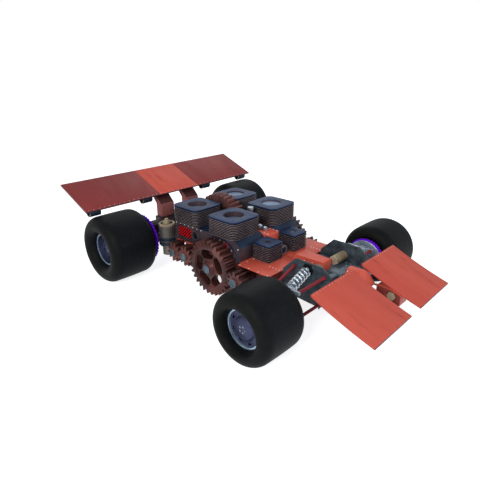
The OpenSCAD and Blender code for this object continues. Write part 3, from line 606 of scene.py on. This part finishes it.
def bolt_ring_maker():
    """Hexagon heads, each on a washer, round a circle."""
    m = Maker("bolt_ring", Radius=0.05, Head=0.008, Height=0.006, Count=6)
    circle = m.add("GeometryNodeMeshCircle",
                   {"Vertices": m.size("Count"), "Radius": m.size("Radius")})
    head = m.add("GeometryNodeMeshCylinder", {"Vertices": 6, "Radius": m.size("Head"),
                                              "Depth": m.math("MULTIPLY", m.size("Height"), 2.0)})
    washer = m.add("GeometryNodeMeshCylinder", {"Vertices": 14,
                                                "Radius": m.math("MULTIPLY", m.size("Head"), 1.4),
                                                "Depth": m.math("MULTIPLY", m.size("Height"), 0.6)})
    return m.end(m.on_points(circle, m.together(head, washer)))


def coil_maker():
    """A round wire wound into a spring about z."""
    m = Maker("coil", Radius=0.038, Wire=0.007, Height=0.2, Turns=6.0)
    spiral = m.add("GeometryNodeCurveSpiral", {"Resolution": 28, "Rotations": m.size("Turns"),
                                               "Start Radius": m.size("Radius"),
                                               "End Radius": m.size("Radius"),
                                               "Height": m.size("Height")})
    wire = m.add("GeometryNodeCurvePrimitiveCircle", {"Resolution": 12, "Radius": m.size("Wire")})
    return m.end(m.add("GeometryNodeCurveToMesh", {"Curve": spiral, "Profile Curve": wire,
                                                   "Fill Caps": True}))


def rib_row_maker():
    """Round ribs at equal steps along z."""
    m = Maker("rib_row", Radius=0.04, Rib=0.004, Pitch=0.012, Count=8)
    ring = m.add("GeometryNodeCurvePrimitiveCircle", {"Resolution": 40, "Radius": m.size("Radius")})
    section = m.add("GeometryNodeCurvePrimitiveCircle", {"Resolution": 10, "Radius": m.size("Rib")})
    rib = m.add("GeometryNodeCurveToMesh", {"Curve": ring, "Profile Curve": section})
    line = m.add("GeometryNodeMeshLine", {"Count": m.size("Count"),
                                          "Offset": m.vector(z=m.size("Pitch"))})
    return m.end(m.on_points(line, rib))


def grille_maker():
    """Slanted bars cut to a rectangle in the xz plane, centred on the origin."""
    m = Maker("grille", Size=(0.2, 0.008, 0.1), Bar=0.008, Pitch=0.018, Count=15)
    half = m.math("MULTIPLY", m.math("SUBTRACT", m.size("Count"), 1.0), -0.5)
    start = m.math("MULTIPLY", half, m.size("Pitch"))
    line = m.add("GeometryNodeMeshLine", {"Count": m.size("Count"),
                                          "Start Location": m.vector(x=start),
                                          "Offset": m.vector(x=m.size("Pitch"))})
    bar = m.add("GeometryNodeMeshCube", {"Size": m.vector(m.size("Bar"), 0.003, 0.4)})
    bars = m.add("GeometryNodeRealizeInstances",
                 {"Geometry": m.on_points(line, bar, turn=(0.0, math.radians(48), 0.0))})
    frame_box = m.add("GeometryNodeMeshCube", {"Size": m.size("Size")})
    cut = m.tree.nodes.new("GeometryNodeMeshBoolean")
    cut.operation = "INTERSECT"
    cut.solver = "EXACT"
    m.tree.links.new(bars, cut.inputs["Mesh 2"])
    m.tree.links.new(frame_box, cut.inputs["Mesh 2"])
    return m.end(cut.outputs[0])


PLATES = plate_stack_maker()
RIVETS = rivet_row_maker()
BOLTS = bolt_ring_maker()
COIL = coil_maker()
RIBS = rib_row_maker()
GRILLE = grille_maker()


def rivet_rows(name, rows, body, size=(5 * MM, 5 * MM, 3 * MM), finish="rivet"):
    """Rows of rivets, each given as (start, end, count)."""
    meshes = [RIVETS.run(finish, Start=start, End=end, Count=count, Size=size)
              for start, end, count in rows]
    return finished(name, joined(name, meshes), body, finish)


def bolt_rings(name, rings, body, finish="steel"):
    """Rings of bolts, each given as (centre, axis, circle radius, head radius, height, count)."""
    meshes = [placed(BOLTS.run(finish, Radius=radius, Head=head, Height=height, Count=count),
                     at, axis)
              for at, axis, radius, head, height, count in rings]
    return finished(name, joined(name, meshes), body, finish, smooth=25)


# ---------------------------------------------------------------- wheels
WHEEL = {"front": {"rim": 0.150, "inset": 0.092, "dome": 0.095},
         "rear": {"rim": 0.155, "inset": 0.128, "dome": 0.090}}
SHOULDER = 0.084


def tyre_outline(radius, half, rim):
    """Half of a tyre's section: crowned tread, round shoulder and funnel sidewall to the bead."""
    tread, crest = half - SHOULDER, radius - SHOULDER
    foot = rim + 0.004
    points = [(radius - 0.002 * (i / 4) ** 2, tread * i / 4) for i in range(5)]
    for i in range(1, 11):
        a = math.radians(9 * i)
        points.append((crest + (SHOULDER - 0.002) * math.cos(a), tread + SHOULDER * math.sin(a)))
    for i in range(1, 11):
        a = math.radians(90 - 9 * i)
        points.append((crest - (crest - foot) * math.cos(a), tread + SHOULDER * math.sin(a)))
    return points + [(rim, tread)]


def make_tyre(axle, side):
    node = f"tyre_{axle}_{side}"
    size = WHEEL[axle]
    radius = (high(node).z - low(node).z) / 2
    half = (high(node).y - low(node).y) / 2
    left_half = tyre_outline(radius, half, size["rim"])
    right_half = [(r, -y) for r, y in reversed(left_half[1:])]
    outline = softened(left_half + right_half)
    mesh = turned(node + "_moulded", outline + outline[:1], middle(node), (0, 1, 0), 144)
    finish = f"rubber_{axle}"
    if finish not in M:
        M[finish] = slick_rubber(finish, middle(node), half - SHOULDER + 0.006)
    finished(node + "_moulded", mesh, BODY_OF[node], finish, [node], smooth=60)


def make_rim(axle, side):
    node = f"rim_{axle}_{side}"
    size = WHEEL[axle]
    tyre = f"tyre_{axle}_{side}"
    hub = middle(tyre)
    out = SIDES[side]
    half = (high(tyre).y - low(tyre).y) / 2
    piece = dressed(node, "rim", 2 * MM)

    def radius(p):
        return math.hypot(p.x - hub.x, p.z - hub.z)

    def along(p):
        return out * (p.y - hub.y)

    lip = half - SHOULDER
    tint(piece, "flange", lambda p, n: radius(p) > size["rim"] - 0.0125 and along(p) > lip - 0.001)
    # Painted shade: the deep inner barrel and the walls of the slots are painted near-black.
    tint(piece, "dark_metal_and_recess_shade", lambda p, n: along(p) < half - size["inset"] - 0.016
         or (abs(n.y) < 0.3 and size["dome"] + 0.004 < radius(p) < size["rim"] - 0.013))
    face = half - size["inset"] + 0.026
    nut = hub + Vector((0, out * face, 0))
    axis = (0, out, 0)
    bolt_rings(f"hub_nuts_{axle}_{side}",
               [(nut, axis, 0.0, 0.011, 0.007, 1), (nut, axis, 0.024, 0.0045, 0.004, 5)],
               BODY_OF[node], "steel")
    chamfer = [(size["rim"] - 0.012, lip), (size["rim"] - 0.012, lip + 0.0095),
               (size["rim"] - 0.008, lip + 0.0105), (size["rim"] - 0.001, lip + 0.0095)]
    ring = turned(f"rim_lip_{axle}_{side}", chamfer, hub, (0, out, 0), 96)
    finished(f"rim_lip_{axle}_{side}", ring, BODY_OF[node], "flange")


def make_disc(axle, side):
    dressed(f"disc_{axle}_{side}", "purple", 1.5 * MM)
    node = f"disc_{axle}_{side}"
    inner = low(node).y if side == "left" else high(node).y
    out = SIDES[side]
    centre = Vector((middle(node).x, inner + out * 0.001, middle(node).z))
    radius = (high(node).z - low(node).z) / 2
    bolt_rings(f"disc_bolts_{axle}_{side}",
               [(centre, (0, -out, 0), radius * 0.62, 0.008, 0.004, 10),
                (centre, (0, -out, 0), radius * 0.84, 0.005, 0.003, 20)],
               BODY_OF[node], "dark")


# ---------------------------------------------------------------- engine
def make_finned_block(node, corner, hole, floor_depth, cap=12 * MM, fins=10, solid=0.34):
    """Thin iron fins round a core painted black as shade, under a top plate painted sky-reflection
    blue, with a round bore.
    """
    bottom, top = low(node), high(node)
    side = top.x - bottom.x
    height = top.z - bottom.z
    at = Vector((middle(node).x, middle(node).y, bottom.z))
    body, slot = BODY_OF[node], SLOT_OF[node]
    gap = (height - cap - 0.004) / fins
    stack = placed(PLATES.run("fin", Side=side, Corner=corner, Hole=hole + 0.008,
                              Thickness=gap * solid, Pitch=gap, Count=fins),
                   at + Vector((0, 0, 0.006)))
    piece = finished(node + "_fins", stack, body, "fin", [node], smooth=25)
    # Painted shade: the fins' upward faces, deep in the gaps, are painted near-black.
    tint(piece, "fin_top", lambda p, n: n.z > 0.6)
    # Painted shade: the fins' undersides and the core seen through the gaps are painted near-black.
    tint(piece, "core_gap_shade", lambda p, n: n.z < -0.6)
    core = PLATES.run("core_gap_shade", Side=side * 0.87, Corner=corner * 0.87, Hole=hole + 0.004,
                      Thickness=height - 0.002, Pitch=0.1, Count=1)
    finished(node + "_core", placed(core, at), body, "core_gap_shade")
    # The top plate's blue is a painted sky reflection.
    plate = PLATES.run("cylinder_top", Side=side, Corner=corner, Hole=hole + 0.001, Thickness=cap,
                       Pitch=0.1, Count=1)
    plate = bevelled(placed(plate, at + Vector((0, 0, height - cap - 0.0005))), 1.6 * MM, 2, 60)
    finished(node + "_top_plate", plate, body, "cylinder_top")
    wall = [(hole, height - floor_depth), (hole, height - 0.003), (hole + 0.003, height - 0.0005),
            (hole + 0.0045, height - 0.002), (hole + 0.0045, height - floor_depth)]
    finished(node + "_bore_wall", turned(node + "_bore_wall", wall, at), body, "bore_wall")
    # The bore floor's pale blue is a painted sky reflection.
    floor = [(0, height - floor_depth + 0.0006), (hole * 0.3, height - floor_depth + 0.0006),
             (hole * 0.32, height - floor_depth + 0.0002), (hole + 0.004, height - floor_depth)]
    finished(node + "_bore_floor", turned(node + "_bore_floor", floor, at), body, "bore_floor")


def make_cylinders():
    for side in SIDES:
        depth = 0.016 if side == "left" else 0.050
        for place in ("front", "rear"):
            make_finned_block(f"cylinder_{place}_{side}", 0.058, 0.093, depth)
        make_finned_block(f"small_cylinder_{side}", 0.014, 0.027, 0.012 if side == "left" else 0.06,
                          9 * MM, 9, 0.28)


def make_grille(name, centre, size, body):
    mesh = GRILLE.run("mesh_red", Size=size, Bar=0.009, Pitch=0.033, Count=18)
    finished(name, placed(mesh, centre), body, "mesh_red", smooth=20)


CRANK_FACE = 0.406  # y of the crankcases' outer face
ARCH_X, ARCH_Z, ARCH_R = -0.05, 0.288, 0.236  # arch of rivets over the big gears
ARCH_PROUD = 0.019


def arch_height(x):
    return ARCH_Z + ARCH_R * math.sqrt(max(0, 1 - ((x - ARCH_X) / ARCH_R) ** 2))


def make_crankcases():
    for side, out in SIDES.items():
        node = f"crankcase_{side}"
        piece = dressed(node, "crankcase", 5 * MM)
        top = high(node)
        face = out * CRANK_FACE
        # Painted sky reflection: upward faces blue. Painted shade: the grille recess floor
        # near-black so the gaps read dark.
        tint(piece, "crank_bevel", lambda p, n: n.z > 0.3)
        tint(piece, "core_gap_shade", lambda p, n: abs(p.y) < CRANK_FACE - 0.010 and abs(n.y) > 0.9
             and abs(p.y) > CRANK_FACE - 0.03)
        make_grille(f"grille_rear_{side}", (-0.544, out * (CRANK_FACE - 0.006), 0.461),
                    (0.188, 0.008, 0.098), "chassis")
        make_grille(f"grille_front_{side}", (0.032, out * (CRANK_FACE + 0.020), 0.497),
                    (0.088, 0.006, 0.034), "chassis")
        port = [(0.050, 0.0), (0.050, 0.006), (0.045, 0.009), (0.037, 0.009), (0.034, 0.005),
                (0.034, 0.0)]
        ring = turned(f"port_ring_{side}", port, (-0.385, face, 0.466), (0, out, 0), 48)
        finished(f"port_ring_{side}", ring, "chassis", "crankcase")
        edge_z = top.z - 0.012
        rivet_rows(f"crankcase_rivets_{side}",
                   [((-0.66, face, edge_z), (-0.30, face, edge_z), 7),
                    ((0.02, face, edge_z - 0.055), (0.17, face, edge_z - 0.055), 3)],
                   "chassis", (5.5 * MM, 3 * MM, 5.5 * MM))
        arch = out * (CRANK_FACE + ARCH_PROUD)
        rows = [((x, arch, arch_height(x)), (x + 0.001, arch, arch_height(x)), 1)
                for x in (-0.24, -0.17, -0.10, -0.03, 0.04, 0.11)]
        rivet_rows(f"arch_rivets_{side}", rows, "chassis",
                   (5 * MM, 3 * MM, 5 * MM))


def make_spine_top():
    dressed("spine", "body", 8 * MM, 3)
    dressed("spine_fittings", "steel", 2.5 * MM)
    top = high("spine").z
    fittings = [(0.060, 0.016), (0.120, 0.013)]
    for x, radius in fittings:
        base = top + (0.036 if x < 0.1 else 0.030)
        dome = [(radius * math.cos(math.radians(a)), radius * 0.6 * math.sin(math.radians(a)))
                for a in range(0, 91, 15)]
        finished(f"fitting_dome_{int(x * 1000)}", turned("dome", dome, (x, 0, base), segments=32),
                 "chassis", "chrome")
    bolt_rings("fitting_bolts", [((0.060, 0, top + 0.036), (0, 0, 1), 0.021, 0.004, 0.003, 6)],
               "chassis")
    half = high("spine").y - 0.012
    first, last = low("spine").x + 0.03, high("spine").x - 0.02
    rivet_rows("spine_rivets",
               [((first, s * half, top), (last, s * half, top), 8) for s in (1, -1)],
               "chassis")
    dressed("starter_housing", "crankcase", 3 * MM)
    face = high("starter_housing").x
    centre = (face, 0, low("starter_housing").z + 0.034)
    band = [(0.045, 0), (0.045, 0.006), (0.042, 0.009), (0.036, 0.009), (0.033, 0.006), (0.033, 0)]
    ring = turned("starter_ring", band, centre, (1, 0, 0), 8, math.radians(22.5))
    finished("starter_ring", ring, "chassis", "ring_grey", smooth=20)
    hub = [(0, 0.005), (0.018, 0.005), (0.022, 0.003), (0.022, 0)]
    # The starter hub takes the crankcase's painted sky-reflection blue.
    finished("starter_hub", turned("starter_hub", hub, centre, (1, 0, 0), 32), "chassis",
             "crank_bevel")


# ---------------------------------------------------------------- gears
def make_gears():
    for side in SIDES:
        big = dressed(f"big_gear_{side}", "gear", 3.5 * MM)
        hub = middle(f"big_gear_{side}")
        face = 0.556
        tint(big, "gear_web", lambda p, n: math.hypot(p.x - hub.x, p.z - hub.z) < 0.178
             or abs(p.y) < face - 0.006)
        tint(big, "gear_shaft", lambda p, n: abs(p.y) > face + 0.021)
        for place in ("rear", "mid", "front"):
            node = f"pinion_{place}_{side}"
            small = dressed(node, "gear", 3 * MM)
            tint(small, "gear_shaft", lambda p, n: abs(p.y) > face + 0.021)
            tint(small, "gear_web", lambda p, n: abs(p.y) < face - 0.004)
    dressed("centre_gear", "gear", 3 * MM)
    dressed("gear_shafts", "gear_shaft")


# ---------------------------------------------------------------- body
def make_body():
    # Painted shade: the tub is the shaded red except on its upward faces.
    tub = dressed("tub", "body_shade", 5 * MM)
    tint(tub, "body", lambda p, n: n.z > 0.5)
    for side, out in SIDES.items():
        node = f"side_deck_{side}"
        deck = dressed(node, "body", 2.4 * MM)
        # Painted shade: the deck's sides and undersides take the shaded red.
        tint(deck, "body_shade", lambda p, n: n.z < 0.2)
        z, edge = high(node).z, high(node).y if side == "left" else low(node).y
        edge -= out * 0.014
        inner = out * 0.292
        rivet_rows(f"deck_rivets_{side}",
                   [((0.222, edge, z), (0.528, edge, z), 4),
                    ((0.43, inner, z), (0.53, inner, z), 4),
                    ((0.222, edge - out * 0.09, z), (0.222, edge - out * 0.25, z), 3)],
                   "chassis")
    cowl = dressed("cowl", "body", 9 * MM, 3)
    # Painted shade on the cowl's undersides, in the shaded red.
    tint(cowl, "body_shade", lambda p, n: n.z < -0.5)
    bottom, top = low("cowl"), high("cowl")
    for side, out in SIDES.items():
        z = top.z - 0.024
        rivet_rows(f"cowl_rivets_{side}",
                   [((bottom.x + 0.03, out * 0.089, z), (top.x - 0.02, out * 0.064, z), 4)],
                   "chassis", (5 * MM, 5 * MM, 5 * MM))
    nose = dressed("nose_cone", "body", 3 * MM)
    # Painted shade on the nose's side walls and undersides, in the shaded red.
    tint(nose, "body_shade", lambda p, n: (abs(n.y) > 0.8 and p.x > 1.2) or n.z < -0.5)
    dressed("nose_plug", "tan", 2 * MM)
    rivet_rows("nose_rivets",
               [((1.018, s * 0.052, 0.4385), (1.090, s * 0.052, 0.4385), 3) for s in (1, -1)]
               + [((1.112, s * 0.0685, 0.3505), (1.20, s * 0.0685, 0.3505), 4) for s in (1, -1)],
               "chassis")


def make_wings():
    for side in SIDES:
        front = dressed(f"front_wing_{side}", "front_wing", 2.5 * MM)
        # Painted shade: front faces and undersides take the shaded wing red.
        tint(front, "wing_shade", lambda p, n: n.x > 0.6 or n.z < -0.6)
        rear = dressed(f"rear_wing_{side}", "rear_wing", 2 * MM)
        # Painted shade: front faces and undersides take the shaded wing red.
        tint(rear, "wing_shade", lambda p, n: n.x > 0.6 or n.z < -0.6)
        tint(rear, "wing_tip", lambda p, n: abs(n.y) > 0.8)
        bottom, top = low(f"front_wing_{side}"), high(f"front_wing_{side}")
        x, z = bottom.x + 0.012, top.z - 0.0065
        rivet_rows(f"front_wing_rivets_{side}",
                   [((x, bottom.y + 0.02, z), (x, top.y - 0.02, z), 14)],
                   "chassis", (3 * MM, 3 * MM, 2 * MM))
    mid = dressed("rear_wing_centre", "rear_wing_mid", 2 * MM)
    # Painted shade: front faces and undersides take the shaded wing red.
    tint(mid, "wing_shade", lambda p, n: n.x > 0.6 or n.z < -0.6)
    posts = dressed("wing_posts", "post", 5 * MM)
    # Painted shade: the posts' upper front facets take the shaded post red.
    tint(posts, "post_top", lambda p, n: p.z > 0.59 and n.x > 0.1)
    tubes = dressed("wing_brackets", "clamp", 1.5 * MM)
    tint(tubes, "tan", lambda p, n: abs(n.y) > 0.8)
    top = high("rear_wing_centre")
    x, z = top.x - 0.014, low("rear_wing_left").z + 0.020
    rivet_rows("rear_wing_rivets", [((x, -1.06, z), (x, 1.06, z), 40)],
               "chassis", (3 * MM, 3 * MM, 2 * MM))


# ---------------------------------------------------------------- suspension and rear end
SPRING = {"inner": (0.802, 0.290, 0.458), "outer": (0.795, 0.486, 0.375)}
BULKHEAD_Y = 0.276  # y of the bulkheads' outer face
HUB_X, HUB_Z = 0.813, 0.277  # front wheel centres
AXLE_Z = 0.35  # height of the rear axle


def make_suspension():
    for side, out in SIDES.items():
        dressed(f"bulkhead_{side}", "plate", 2 * MM)
        dressed(f"carrier_{side}", "cast_silver", 3 * MM)
        dressed(f"knuckle_{side}", "cast_silver", 5 * MM)
        start = Vector(SPRING["inner"])
        end = Vector(SPRING["outer"])
        start.y *= out
        end.y *= out
        axis = end - start
        coil = placed(COIL.run("chrome", Radius=0.0375, Wire=0.0072,
                               Height=axis.length * 0.86, Turns=5.5),
                      start + axis * 0.07, axis)
        finished(f"coil_{side}", coil, "chassis", "chrome",
                 ["coil_springs"] if side == "left" else [], smooth=80)
        damper = [(0.0, -0.012), (0.022, -0.012), (0.022, 0.014), (0.040, 0.014), (0.043, 0.018),
                  (0.040, 0.022), (0.017, 0.022), (0.017, 0.1), (0.023, 0.1), (0.023, 0.182),
                  (0.040, 0.182), (0.043, 0.187), (0.040, 0.192), (0.020, 0.192), (0.016, 0.222),
                  (0.0, 0.222)]
        finished(f"damper_{side}", turned("damper", damper, start, axis, 40), "chassis", "steel")
        cup = [(0.0, 0.0), (0.052, 0.0), (0.052, 0.010), (0.046, 0.013), (0.030, 0.013),
               (0.0, 0.013)]
        plate = out * BULKHEAD_Y
        finished(f"spring_cup_{side}", turned("cup", cup, (0.802, plate, 0.458), (0, out, 0), 6),
                 "chassis", "dark_metal_and_recess_shade", smooth=20)
        bolt_rings(f"bulkhead_bolts_{side}",
                   [((0.671, plate, 0.450), (0, out, 0), 0.026, 0.005, 0.004, 5),
                    ((0.956, plate, 0.441), (0, out, 0), 0.026, 0.005, 0.004, 5),
                    ((0.802, plate, 0.458), (0, out, 0), 0.062, 0.006, 0.004, 6),
                    ((0.914, plate, 0.186), (0, out, 0), 0.026, 0.005, 0.004, 5)],
                   "chassis", "plate")
        hub = (HUB_X, out * 0.6018, HUB_Z)
        bolt_face = (HUB_X, out * 0.5946, HUB_Z)
        flange = [(0.0, 0.0), (0.163, 0.0), (0.166, -0.003), (0.166, -0.009), (0.161, -0.012),
                  (0.140, -0.012), (0.136, -0.007), (0.118, -0.007), (0.114, -0.012),
                  (0.104, -0.012), (0.100, -0.007), (0.084, -0.007), (0.078, -0.016),
                  (0.060, -0.022), (0.0, -0.022)]
        finished(f"hub_flange_{side}", turned("hub_flange", flange, hub, (0, out, 0), 96),
                 f"knuckle_{side}", "cast_silver")
        bolt_rings(f"hub_flange_bolts_{side}",
                   [(bolt_face, (0, -out, 0), 0.092, 0.007, 0.006, 10),
                    (bolt_face, (0, -out, 0), 0.150, 0.006, 0.006, 18)],
                   f"knuckle_{side}", "chrome")
    dressed("suspension_rods", "rod", 2 * MM)
    dressed("front_floor", "floor_plate")
    dressed("rack_housing", "pale_plate", 5 * MM)
    rivet_rows("floor_rivets",
               [((0.83, s * 0.25, 0.35), (0.995, s * 0.25, 0.35), 5) for s in (1, -1)]
               + [((x, -0.15, 0.376), (x, 0.15, 0.376), 6) for x in (0.89, 0.92)],
               "chassis", finish="steel")
    make_ribbed_cylinders()


def make_ribbed_cylinders():
    x, z, radius = 0.792, 0.406, 0.042
    replaced = ["ribbed_cylinders"]
    for side, out in SIDES.items():
        axis = (0, out, 0)
        barrel = [(0.0, 0.102), (0.031, 0.102), (0.031, 0.120), (0.029, 0.128), (0.029, 0.266),
                  (0.0, 0.266)]
        finished(f"ribbed_barrel_{side}", turned("barrel", barrel, (x, 0, z), axis, 40),
                 "chassis", "tan_dark", replaced)
        replaced = []
        ribs = RIBS.run("tan", Radius=radius - 0.0062, Rib=0.0048, Pitch=0.0152, Count=9)
        finished(f"ribs_{side}", placed(ribs, (x, out * 0.137, z), axis), "chassis", "tan",
                 smooth=80)
        head = [(0.0, 0.1), (0.018, 0.1), (0.020, 0.1005), (radius - 0.004, 0.1005),
                (radius, 0.104), (radius, 0.124), (radius - 0.003, 0.127), (0.0, 0.127)]
        finished(f"hex_head_{side}", turned("hex_head", head, (x, 0, z), axis, 6, math.radians(30)),
                 "chassis", "tan", smooth=20)


def make_rear_end():
    dressed("rear_axle", "dark", 8 * MM)
    cans = dressed("canisters", "canister", 3 * MM)
    cap_z = 0.496
    tint(cans, "tan", lambda p, n: p.z > cap_z + 0.004)
    tint(cans, "clamp", lambda p, n: n.z > 0.7 and cap_z + 0.004 < p.z < cap_z + 0.014)
    for side, out in SIDES.items():
        centre = Vector((-0.762, out * 0.450, 0))
        band = [(0.0775, 0.0), (0.086, 0.002), (0.0872, 0.010), (0.0872, 0.022), (0.086, 0.030),
                (0.0775, 0.032)]
        rings = [turned("clamp", band, centre + Vector((0, 0, z)), segments=72)
                 for z in (0.300, 0.346)]
        finished(f"canister_bands_{side}", joined("bands", rings), "chassis", "clamp")
        dome = [(0.040, 0.502), (0.041, 0.512), (0.038, 0.528), (0.030, 0.541), (0.018, 0.549),
                (0.018, 0.557), (0.015, 0.561), (0.0, 0.562)]
        finished(f"canister_dome_{side}", turned("dome", dome, centre, segments=40), "chassis",
                 "tan")
    back = low("rear_axle").x
    ahead, behind = (1, 0, 0), (-1, 0, 0)
    bolt_rings("axle_bolts",
               [((-0.9595, s * 0.35, AXLE_Z), ahead, 0.06, 0.009, 0.006, 8) for s in (1, -1)]
               + [((back - 0.0005, s * 0.19, AXLE_Z), behind, 0.055, 0.009, 0.006, 8)
                  for s in (1, -1)]
               + [((back - 0.0105, 0, AXLE_Z), behind, 0.088, 0.008, 0.006, 10)],
               "chassis", "steel")
    cover = [(0.0, 0.040), (0.045, 0.036), (0.075, 0.020), (0.078, 0.012), (0.1, 0.010), (0.1, 0.0)]
    finished("axle_cover", turned("axle_cover", cover, (back, 0, AXLE_Z), behind, 64), "chassis",
             "dark")


# ---------------------------------------------------------------- camera, light, floor
def place_camera():
    data = bpy.data.cameras.new("camera")
    data.sensor_width = 36
    data.lens = 32.23
    data.clip_end = 100
    camera = bpy.data.objects.new("camera", data)
    bpy.context.scene.collection.objects.link(camera)
    yaw, pitch, roll = (math.radians(a) for a in (134.355, -21.737, -0.593))
    ahead = Vector((math.cos(pitch) * math.cos(yaw), math.cos(pitch) * math.sin(yaw),
                    math.sin(pitch)))
    right = ahead.cross(Vector((0, 0, 1))).normalized()
    up = right.cross(ahead)
    right, up = (math.cos(roll) * right + math.sin(roll) * up,
                 math.cos(roll) * up - math.sin(roll) * right)
    turn = Matrix((right, up, -ahead)).transposed().to_4x4()
    camera.matrix_world = Matrix.Translation((2.527, -2.790, 1.909)) @ turn
    bpy.context.scene.camera = camera


def area_light(name, place, target, size, power, colour=(1, 1, 1)):
    data = bpy.data.lights.new(name, "AREA")
    data.shape = "DISK"
    data.size = size
    data.energy = power
    data.color = colour
    lamp = bpy.data.objects.new(name, data)
    bpy.context.scene.collection.objects.link(lamp)
    lamp.location = place
    lamp.rotation_mode = "QUATERNION"
    lamp.rotation_quaternion = (Vector(target) - Vector(place)).to_track_quat("-Z", "Y")


def light_studio():
    area_light("key", (2.0, -5.5, 3.6), (0, 0, 0.3), 3.0, 235)
    area_light("fill", (5.5, 1.5, 2.6), (0, 0, 0.3), 4.0, 110, (0.92, 0.96, 1))
    area_light("back", (-3.5, 3.5, 5.0), (0, 0, 0.4), 4.5, 90, (1, 0.97, 0.94))
    world = bpy.data.worlds.new("studio")
    bpy.context.scene.world = world
    world.use_nodes = True
    tree = world.node_tree
    tree.nodes.clear()
    seen = tree.nodes.new("ShaderNodeBackground")
    seen.inputs["Color"].default_value = (1, 1, 1, 1)
    lit = tree.nodes.new("ShaderNodeBackground")
    lit.inputs["Color"].default_value = (0.72, 0.84, 1.0, 1)
    lit.inputs["Strength"].default_value = 0.36
    mix = tree.nodes.new("ShaderNodeMixShader")
    out = tree.nodes.new("ShaderNodeOutputWorld")
    tree.links.new(seen_rays(tree), mix.inputs["Fac"])
    tree.links.new(lit.outputs[0], mix.inputs[1])
    tree.links.new(seen.outputs[0], mix.inputs[2])
    tree.links.new(mix.outputs[0], out.inputs["Surface"])


def seen_rays(tree):
    """One where the camera sees a surface, straight or in a reflection or through glass."""
    rays = tree.nodes.new("ShaderNodeLightPath")
    total = rays.outputs["Is Camera Ray"]
    for kind in ("Is Glossy Ray", "Is Transmission Ray"):
        both = tree.nodes.new("ShaderNodeMath")
        both.operation = "MAXIMUM"
        tree.links.new(total, both.inputs[0])
        tree.links.new(rays.outputs[kind], both.inputs[1])
        total = both.outputs[0]
    return total


def lay_floor():
    """A white floor that keeps the car's soft shadow and runs into the white background."""
    bm = bmesh.new()
    bmesh.ops.create_circle(bm, cap_ends=True, segments=64, radius=60)
    mesh = bpy.data.meshes.new("studio_floor")
    bm.to_mesh(mesh)
    bm.free()
    floor = bpy.data.objects.new("studio_floor", mesh)
    bpy.context.scene.collection.objects.link(floor)
    material = bpy.data.materials.new("pale_floor")
    material.use_nodes = True
    tree = material.node_tree
    shader = tree.nodes["Principled BSDF"]
    shader.inputs["Base Color"].default_value = (0.86, 0.86, 0.86, 1)
    shader.inputs["Roughness"].default_value = 0.95
    shader.inputs["Specular IOR Level"].default_value = 0.0
    shader.inputs["Emission Color"].default_value = (1, 1, 1, 1)
    glow = tree.nodes.new("ShaderNodeMath")
    glow.operation = "MULTIPLY"
    glow.inputs[1].default_value = 0.8
    tree.links.new(seen_rays(tree), glow.inputs[0])
    tree.links.new(glow.outputs[0], shader.inputs["Emission Strength"])
    mesh.materials.append(material)


bpy.context.scene.view_settings.view_transform = "Standard"
place_camera()
for axle_name in WHEEL:
    for side_name in SIDES:
        make_tyre(axle_name, side_name)
        make_rim(axle_name, side_name)
        make_disc(axle_name, side_name)
make_suspension()
make_body()
make_wings()
make_crankcases()
make_cylinders()
make_spine_top()
make_gears()
make_rear_end()
light_studio()
lay_floor()
